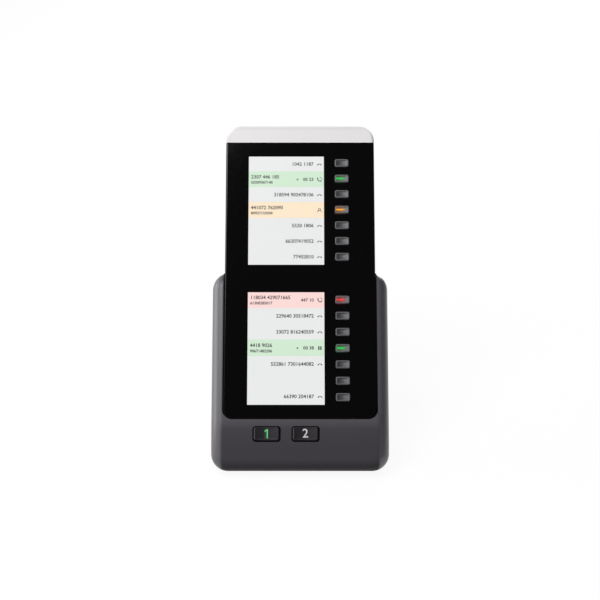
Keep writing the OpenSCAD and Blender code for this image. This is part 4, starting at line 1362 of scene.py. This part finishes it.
for colour, (bright, halo) in glowColours.items():
    makeBarFinish("bar" + colour, bright)
    makeKeyFinish("key" + colour, halo)
capMaster = newPiece("capMaster", ringMesh("capMaster", capRings(lineKey, keyLevel), capSpread(lineKey)))
barMaster = newPiece("barMaster", barMesh("barMaster"))
lineKeys = [f"line_key_{number:02d}" for number in range(1, 15)]
for number, node in enumerate(lineKeys, 1):
    spot = faceSpot(node)
    place = [(spot.x, spot.y + lineKey["lift"], 0)]
    colour = litKeys.get(number, "")
    cap = stamp.grow(f"lineKeyCap{number:02d}", "key" + colour, place, sharp=50.0, master=capMaster)
    settle(cap, node, "line_key_plastic", node)
    bar = stamp.grow(f"lightBar{number:02d}", "bar" + colour, place, sharp=50.0, master=barMaster)
    settle(bar, node, "line_key_plastic")
for master in (capMaster, barMaster):
    bpy.data.objects.remove(master)
print("line keys made")


pageKey = {
    "width": 15.7,
    "height": 8.5,
    "shift": -0.15,  # sideways in its opening
    "middle": 25.05,  # up the face
    "corner": 1.5,
    "leastCorner": 0.5,
    "rise": 0.5,
    "edge": 0.55,
    "dish": 0.45,
    "dishFull": 1.15,  # from here inwards the hollow has its full depth
    "rim": 0.7,
    "insets": (0.7, 0.85, 1.05, 1.4, 1.9, 2.4, 2.9, 3.4, 3.9),
    "crown": 85.0,  # radius of the chin's curve
    "crownStart": 34.5,
    "flange": 1.6,
    "flangeFront": -4.432,
    "flangeBack": -5.232,
    "steps": 6,
    "sides": 24,
    # painted shade: the face is painted darker to the left and lighter to the right
    "leftShade": (36, 33, 38),
    "rightShade": (60, 57, 62),
    "leftHighlight": (88, 86, 90),
    "leak": (16, 58, 30),
    "shadeSweep": (0.1, 0.95),  # ranges on the key's own map
    # painted highlight along the key's left edge
    "leftHighlightIn": (-0.02, 0.01),
    "leftHighlightOut": (0.02, 0.06),
    "leakAside": (0.3, 1.9),  # millimetres from its middle
    "leakAbove": (2.4, 4.0),
    "grain": 0.02,
}
digits = {
    "on": (92, 190, 120),
    "off": (205, 205, 205),
    "print": 0.04,  # above the cap
    "size": 7.8,
    "weight": 0.07,
    "cut": 0.6,
    "one": ((0.2, -2.8), (0.9, -2.8), (0.9, 2.8), (0.35, 2.8), (-1.1, 1.8), (-1.1, 1.0), (0.2, 1.8)),
}


def pageLevel(x, v, inset=pageKey["dishFull"]):
    # height of the key's face: it follows the chin's curve and is hollow across its width
    drop = pageKey["crownStart"] - v
    crown = sqrt((pageKey["crown"] + pageKey["rise"]) ** 2 - drop ** 2) - pageKey["crown"]
    reach = pageKey["width"] / 2 - pageKey["rim"]
    hollow = pageKey["dish"] * max(0.0, 1 - (x / reach) ** 2)
    return crown - hollow * progress(inset, pageKey["edge"], pageKey["dishFull"])


def cutSmall(mesh, step):
    # cut a flat mesh into small squares so that it can follow a curve
    with reworked(mesh) as work:
        for axis, normal in enumerate((Vector((1, 0, 0)), Vector((0, 1, 0)))):
            places = [vert.co[axis] for vert in work.verts]
            place = min(places) + step
            while place < max(places):
                parts = [*work.verts, *work.edges, *work.faces]
                bmesh.ops.bisect_plane(work, geom=parts, plane_co=normal * place, plane_no=normal)
                place += step


def digitMesh(name, digit):
    middle = pageKey["middle"]
    if digit == "1":
        points = [(x, middle + y, 0) for x, y in digits["one"]]
        mesh = meshFromPoints(name, points, [tuple(range(len(points)))])
    else:
        mesh = textMesh(digit, digits["size"], 0, middle, 0, "CENTER", digits["weight"])
    cutSmall(mesh, digits["cut"])
    for vert in mesh.vertices:
        vert.co.z = pageLevel(vert.co.x, vert.co.y) + digits["print"]
    return mesh


def makePageKeyFinish(slot, glow=None):
    # grained plastic, hollow across, painted darker to the left and lighter to the right as shade of its
    # hollow, with a painted highlight along its left edge; light leaks round a lit digit
    finish = Finish(slot, slot + "Charcoal", Specular_IOR_Level=0.15)
    across, up = finish.pieceMap()
    speck, cloud = finish.noise(0.55), finish.noise(4.0)
    # painted shade of the hollow, from dark at the left to light at the right
    shadeSweep = finish.smooth(across, *pageKey["shadeSweep"])
    base = finish.blend(shadeSweep, shade(*pageKey["leftShade"]), shade(*pageKey["rightShade"]))
    # painted highlight: a lighter band along the left edge
    edge = (1 - finish.smooth(across, *pageKey["leftHighlightOut"])) * finish.smooth(across, *pageKey["leftHighlightIn"])
    worn = finish.blend(edge, base, shade(*pageKey["leftHighlight"]))
    finish.give(Base_Color=finish.blend(speck * cloud, worn, shade(24)), Roughness=0.42 + speck * 0.12)
    finish.bump(speck, pageKey["grain"])
    if glow:
        aside = (across - 0.5).size() * pageKey["width"]
        above = (up - 0.5).size() * pageKey["height"]
        leak = 1 - finish.smooth(aside, *pageKey["leakAside"])
        leak = leak * (1 - finish.smooth(above, *pageKey["leakAbove"]))
        finish.give(Emission_Color=finish.blend(leak, black, shade(*glow)), Emission_Strength=1.0)


def makeDigitFinish(slot, level, strength):
    finish = Finish(slot, slot + "Print", Roughness=0.4)
    lit = shade(*level)
    soft = finish.blend(finish.noise(1.5), toned(lit, 0.85), lit)
    finish.give(Base_Color=soft, Emission_Color=soft, Emission_Strength=strength)


makePageKeyFinish("pageKey")
makePageKeyFinish("pageKeyLit", pageKey["leak"])
makeDigitFinish("digitOn", digits["on"], 0.5)
# the unlit digit glows faintly too: painted light
makeDigitFinish("digitOff", digits["off"], 0.15)
pageMaster = newPiece("pageMaster", ringMesh("pageMaster", capRings(pageKey, pageLevel), capSpread(pageKey)))
for digit, capSlot, slot in (("1", "pageKeyLit", "digitOn"), ("2", "pageKey", "digitOff")):
    node = "page_key_" + digit
    place = [(faceSpot(node).x + pageKey["shift"], 0, 0)]
    cap = stamp.grow("pageKeyCap" + digit, capSlot, place, sharp=50.0, master=pageMaster)
    settle(cap, node, "page_key_plastic", node)
    digitMaster = newPiece("digitMaster", digitMesh("digitMaster", digit))
    mark = stamp.grow("pageDigit" + digit, slot, place, master=digitMaster)
    faceFront(mark.data)
    settle(mark, node, "page_key_plastic")
    bpy.data.objects.remove(digitMaster)
bpy.data.objects.remove(pageMaster)
print("page keys made")


dome = {
    "matFront": -7.2,  # out of the face
    "sunk": 0.05,
    "radius": 2.5,
    "tip": 1.8,
    "edge": 0.2,
    "sides": 32,
    "travel": 1.0,
    "sheetOver": 0.1,  # what stands further out than this is a dome
    "sheetUnder": 0.02,
}
# mat: the keys over it, the top of its domes, and how far they stand aside from a key's middle
mats = {
    "line_key_mat": (lineKeys, -4.3, (1.4,)),
    "page_key_mat": (["page_key_1", "page_key_2"], -5.231, (-5.0, 5.0)),
}


def flatMat(node):
    # the sheet of a mat, with its domes pressed flat: each dome is a piece of its own
    mesh = skinMesh(node, node + "Sheet")
    for vert in mesh.vertices:
        spot = worldToFace @ vert.co
        if spot.z > dome["matFront"] + dome["sheetOver"]:
            vert.co = facePoint(spot.x, spot.y, dome["matFront"] - dome["sheetUnder"])
    soften(mesh, crease)
    settle(newPiece(mesh.name, mesh, "silicone"), root, "silicone", node)


def domeRings(top):
    edge, tip, foot = dome["edge"], dome["tip"], dome["matFront"]
    turns = [2 * pi * (i + 0.5) / dome["sides"] for i in range(dome["sides"])]
    profile = (
        (dome["radius"], foot - dome["sunk"]), (dome["radius"], foot), (tip + edge / 2, top - edge),
        (tip, top - edge / 3), (tip - edge / 2, top), (tip - edge * 2, top),
    )
    return [[(radius * cos(turn), radius * sin(turn), out) for turn in turns] for radius, out in profile]


def makeDomes(keys, top, asides):
    # one dome for each key at each of its places aside
    master = newPiece("domeMaster", ringMesh("domeMaster", domeRings(top)))
    for key in keys:
        spot = faceSpot(key)
        for number, aside in enumerate(asides, 1):
            x = spot.x + aside
            name = f"{key}_dome{number}"
            piece = stamp.grow(name, "silicone", [(x, spot.y, 0)], sharp=50.0, master=master)
            settle(piece, root, "silicone")
            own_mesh(piece)
    bpy.data.objects.remove(master)


for node, domes in mats.items():
    flatMat(node)
    makeDomes(*domes)
print("domes made")


innerSlots = {
    "foam": ("lens_tape", "gasket_upper", "gasket_lower"),
    "cream": ("display_upper", "display_lower", "board_connectors"),
    "film": ("display_flex_upper", "display_flex_lower", "page_flex"),
    "steel": ("display_chassis", "board_screws", "port_screws"),
    "board": ("main_board", "page_board", "port_board"),
    "chip": ("board_chips",),
    "lamp": ("line_key_lamps", "page_key_lamps"),
    "portBlack": ("port_right",),
    "ribbon": ("port_ribbon",),
}
for slot, nodes in innerSlots.items():
    for node in nodes:
        mesh = frame["nodes"][node].data
        mesh.materials.clear()
        mesh.materials.append(finishes[slot])
print("inner parts finished")


def makeFloor():
    reach = studio["floorReach"]
    corners = [(-reach, -reach, 0), (reach, -reach, 0), (reach, reach, 0), (-reach, reach, 0)]
    mesh = meshFromPoints("floor", corners, [(0, 1, 2, 3)])
    material = bpy.data.materials.new("floorPaper")
    material.use_nodes = True
    material.node_tree.nodes.clear()
    sheet = NodeSheet(material.node_tree)
    seen = ("Is Camera Ray", "Is Glossy Ray", "Is Diffuse Ray")
    toCamera, toGloss, toDiffuse = sheet.node("ShaderNodeLightPath", output=seen)
    tone = sheet.blend(toDiffuse, (studio["floor"],) * 3 + (1,), (studio["floorBounce"],) * 3 + (1,))
    paper = sheet.node("ShaderNodeBsdfDiffuse", values={"Color": tone})
    white = sheet.node("ShaderNodeEmission", values={"Strength": 1.0})
    share = toCamera.most(toGloss) * studio["floorShare"]
    mix = sheet.node("ShaderNodeMixShader", values={0: share, 1: paper, 2: white})
    sheet.node("ShaderNodeOutputMaterial", values={"Surface": mix})
    mesh.materials.append(material)
    link("floor", mesh)


def makeWorld():
    # white all round for the camera; glossy surfaces see a dim ceiling and a dark flag to the right
    world = bpy.data.worlds.new("studio")
    bpy.context.scene.world = world
    world.use_nodes = True
    sheet = NodeSheet(world.node_tree)
    seen = ("Is Camera Ray", "Is Glossy Ray", "Is Transmission Ray")
    toCamera, toGloss, toGlass = sheet.node("ShaderNodeLightPath", output=seen)
    way = sheet.node("ShaderNodeTexCoord", output="Generated")
    right, height = sheet.node("ShaderNodeSeparateXYZ", values={0: way}, output=("X", "Z"))
    ceiling = sheet.smooth(height, *studio["ceilingEdge"], 1.0, studio["ceiling"])
    flag = sheet.smooth(right, *studio["flagEdge"], 1.0, studio["flag"])
    reach = {"Value": height, "To Min": studio["horizon"], "To Max": studio["zenith"]}
    soft = sheet.node("ShaderNodeMapRange", values=reach)
    direct = toCamera.most(toGlass)
    level = direct + (1 - direct) * (toGloss * ceiling * flag + (1 - toGloss) * soft)
    sheet.place(world.node_tree.nodes["Background"], {"Color": (1, 1, 1, 1), "Strength": level})


makeFloor()
makeWorld()
bpy.context.scene.view_settings.view_transform = "Standard"
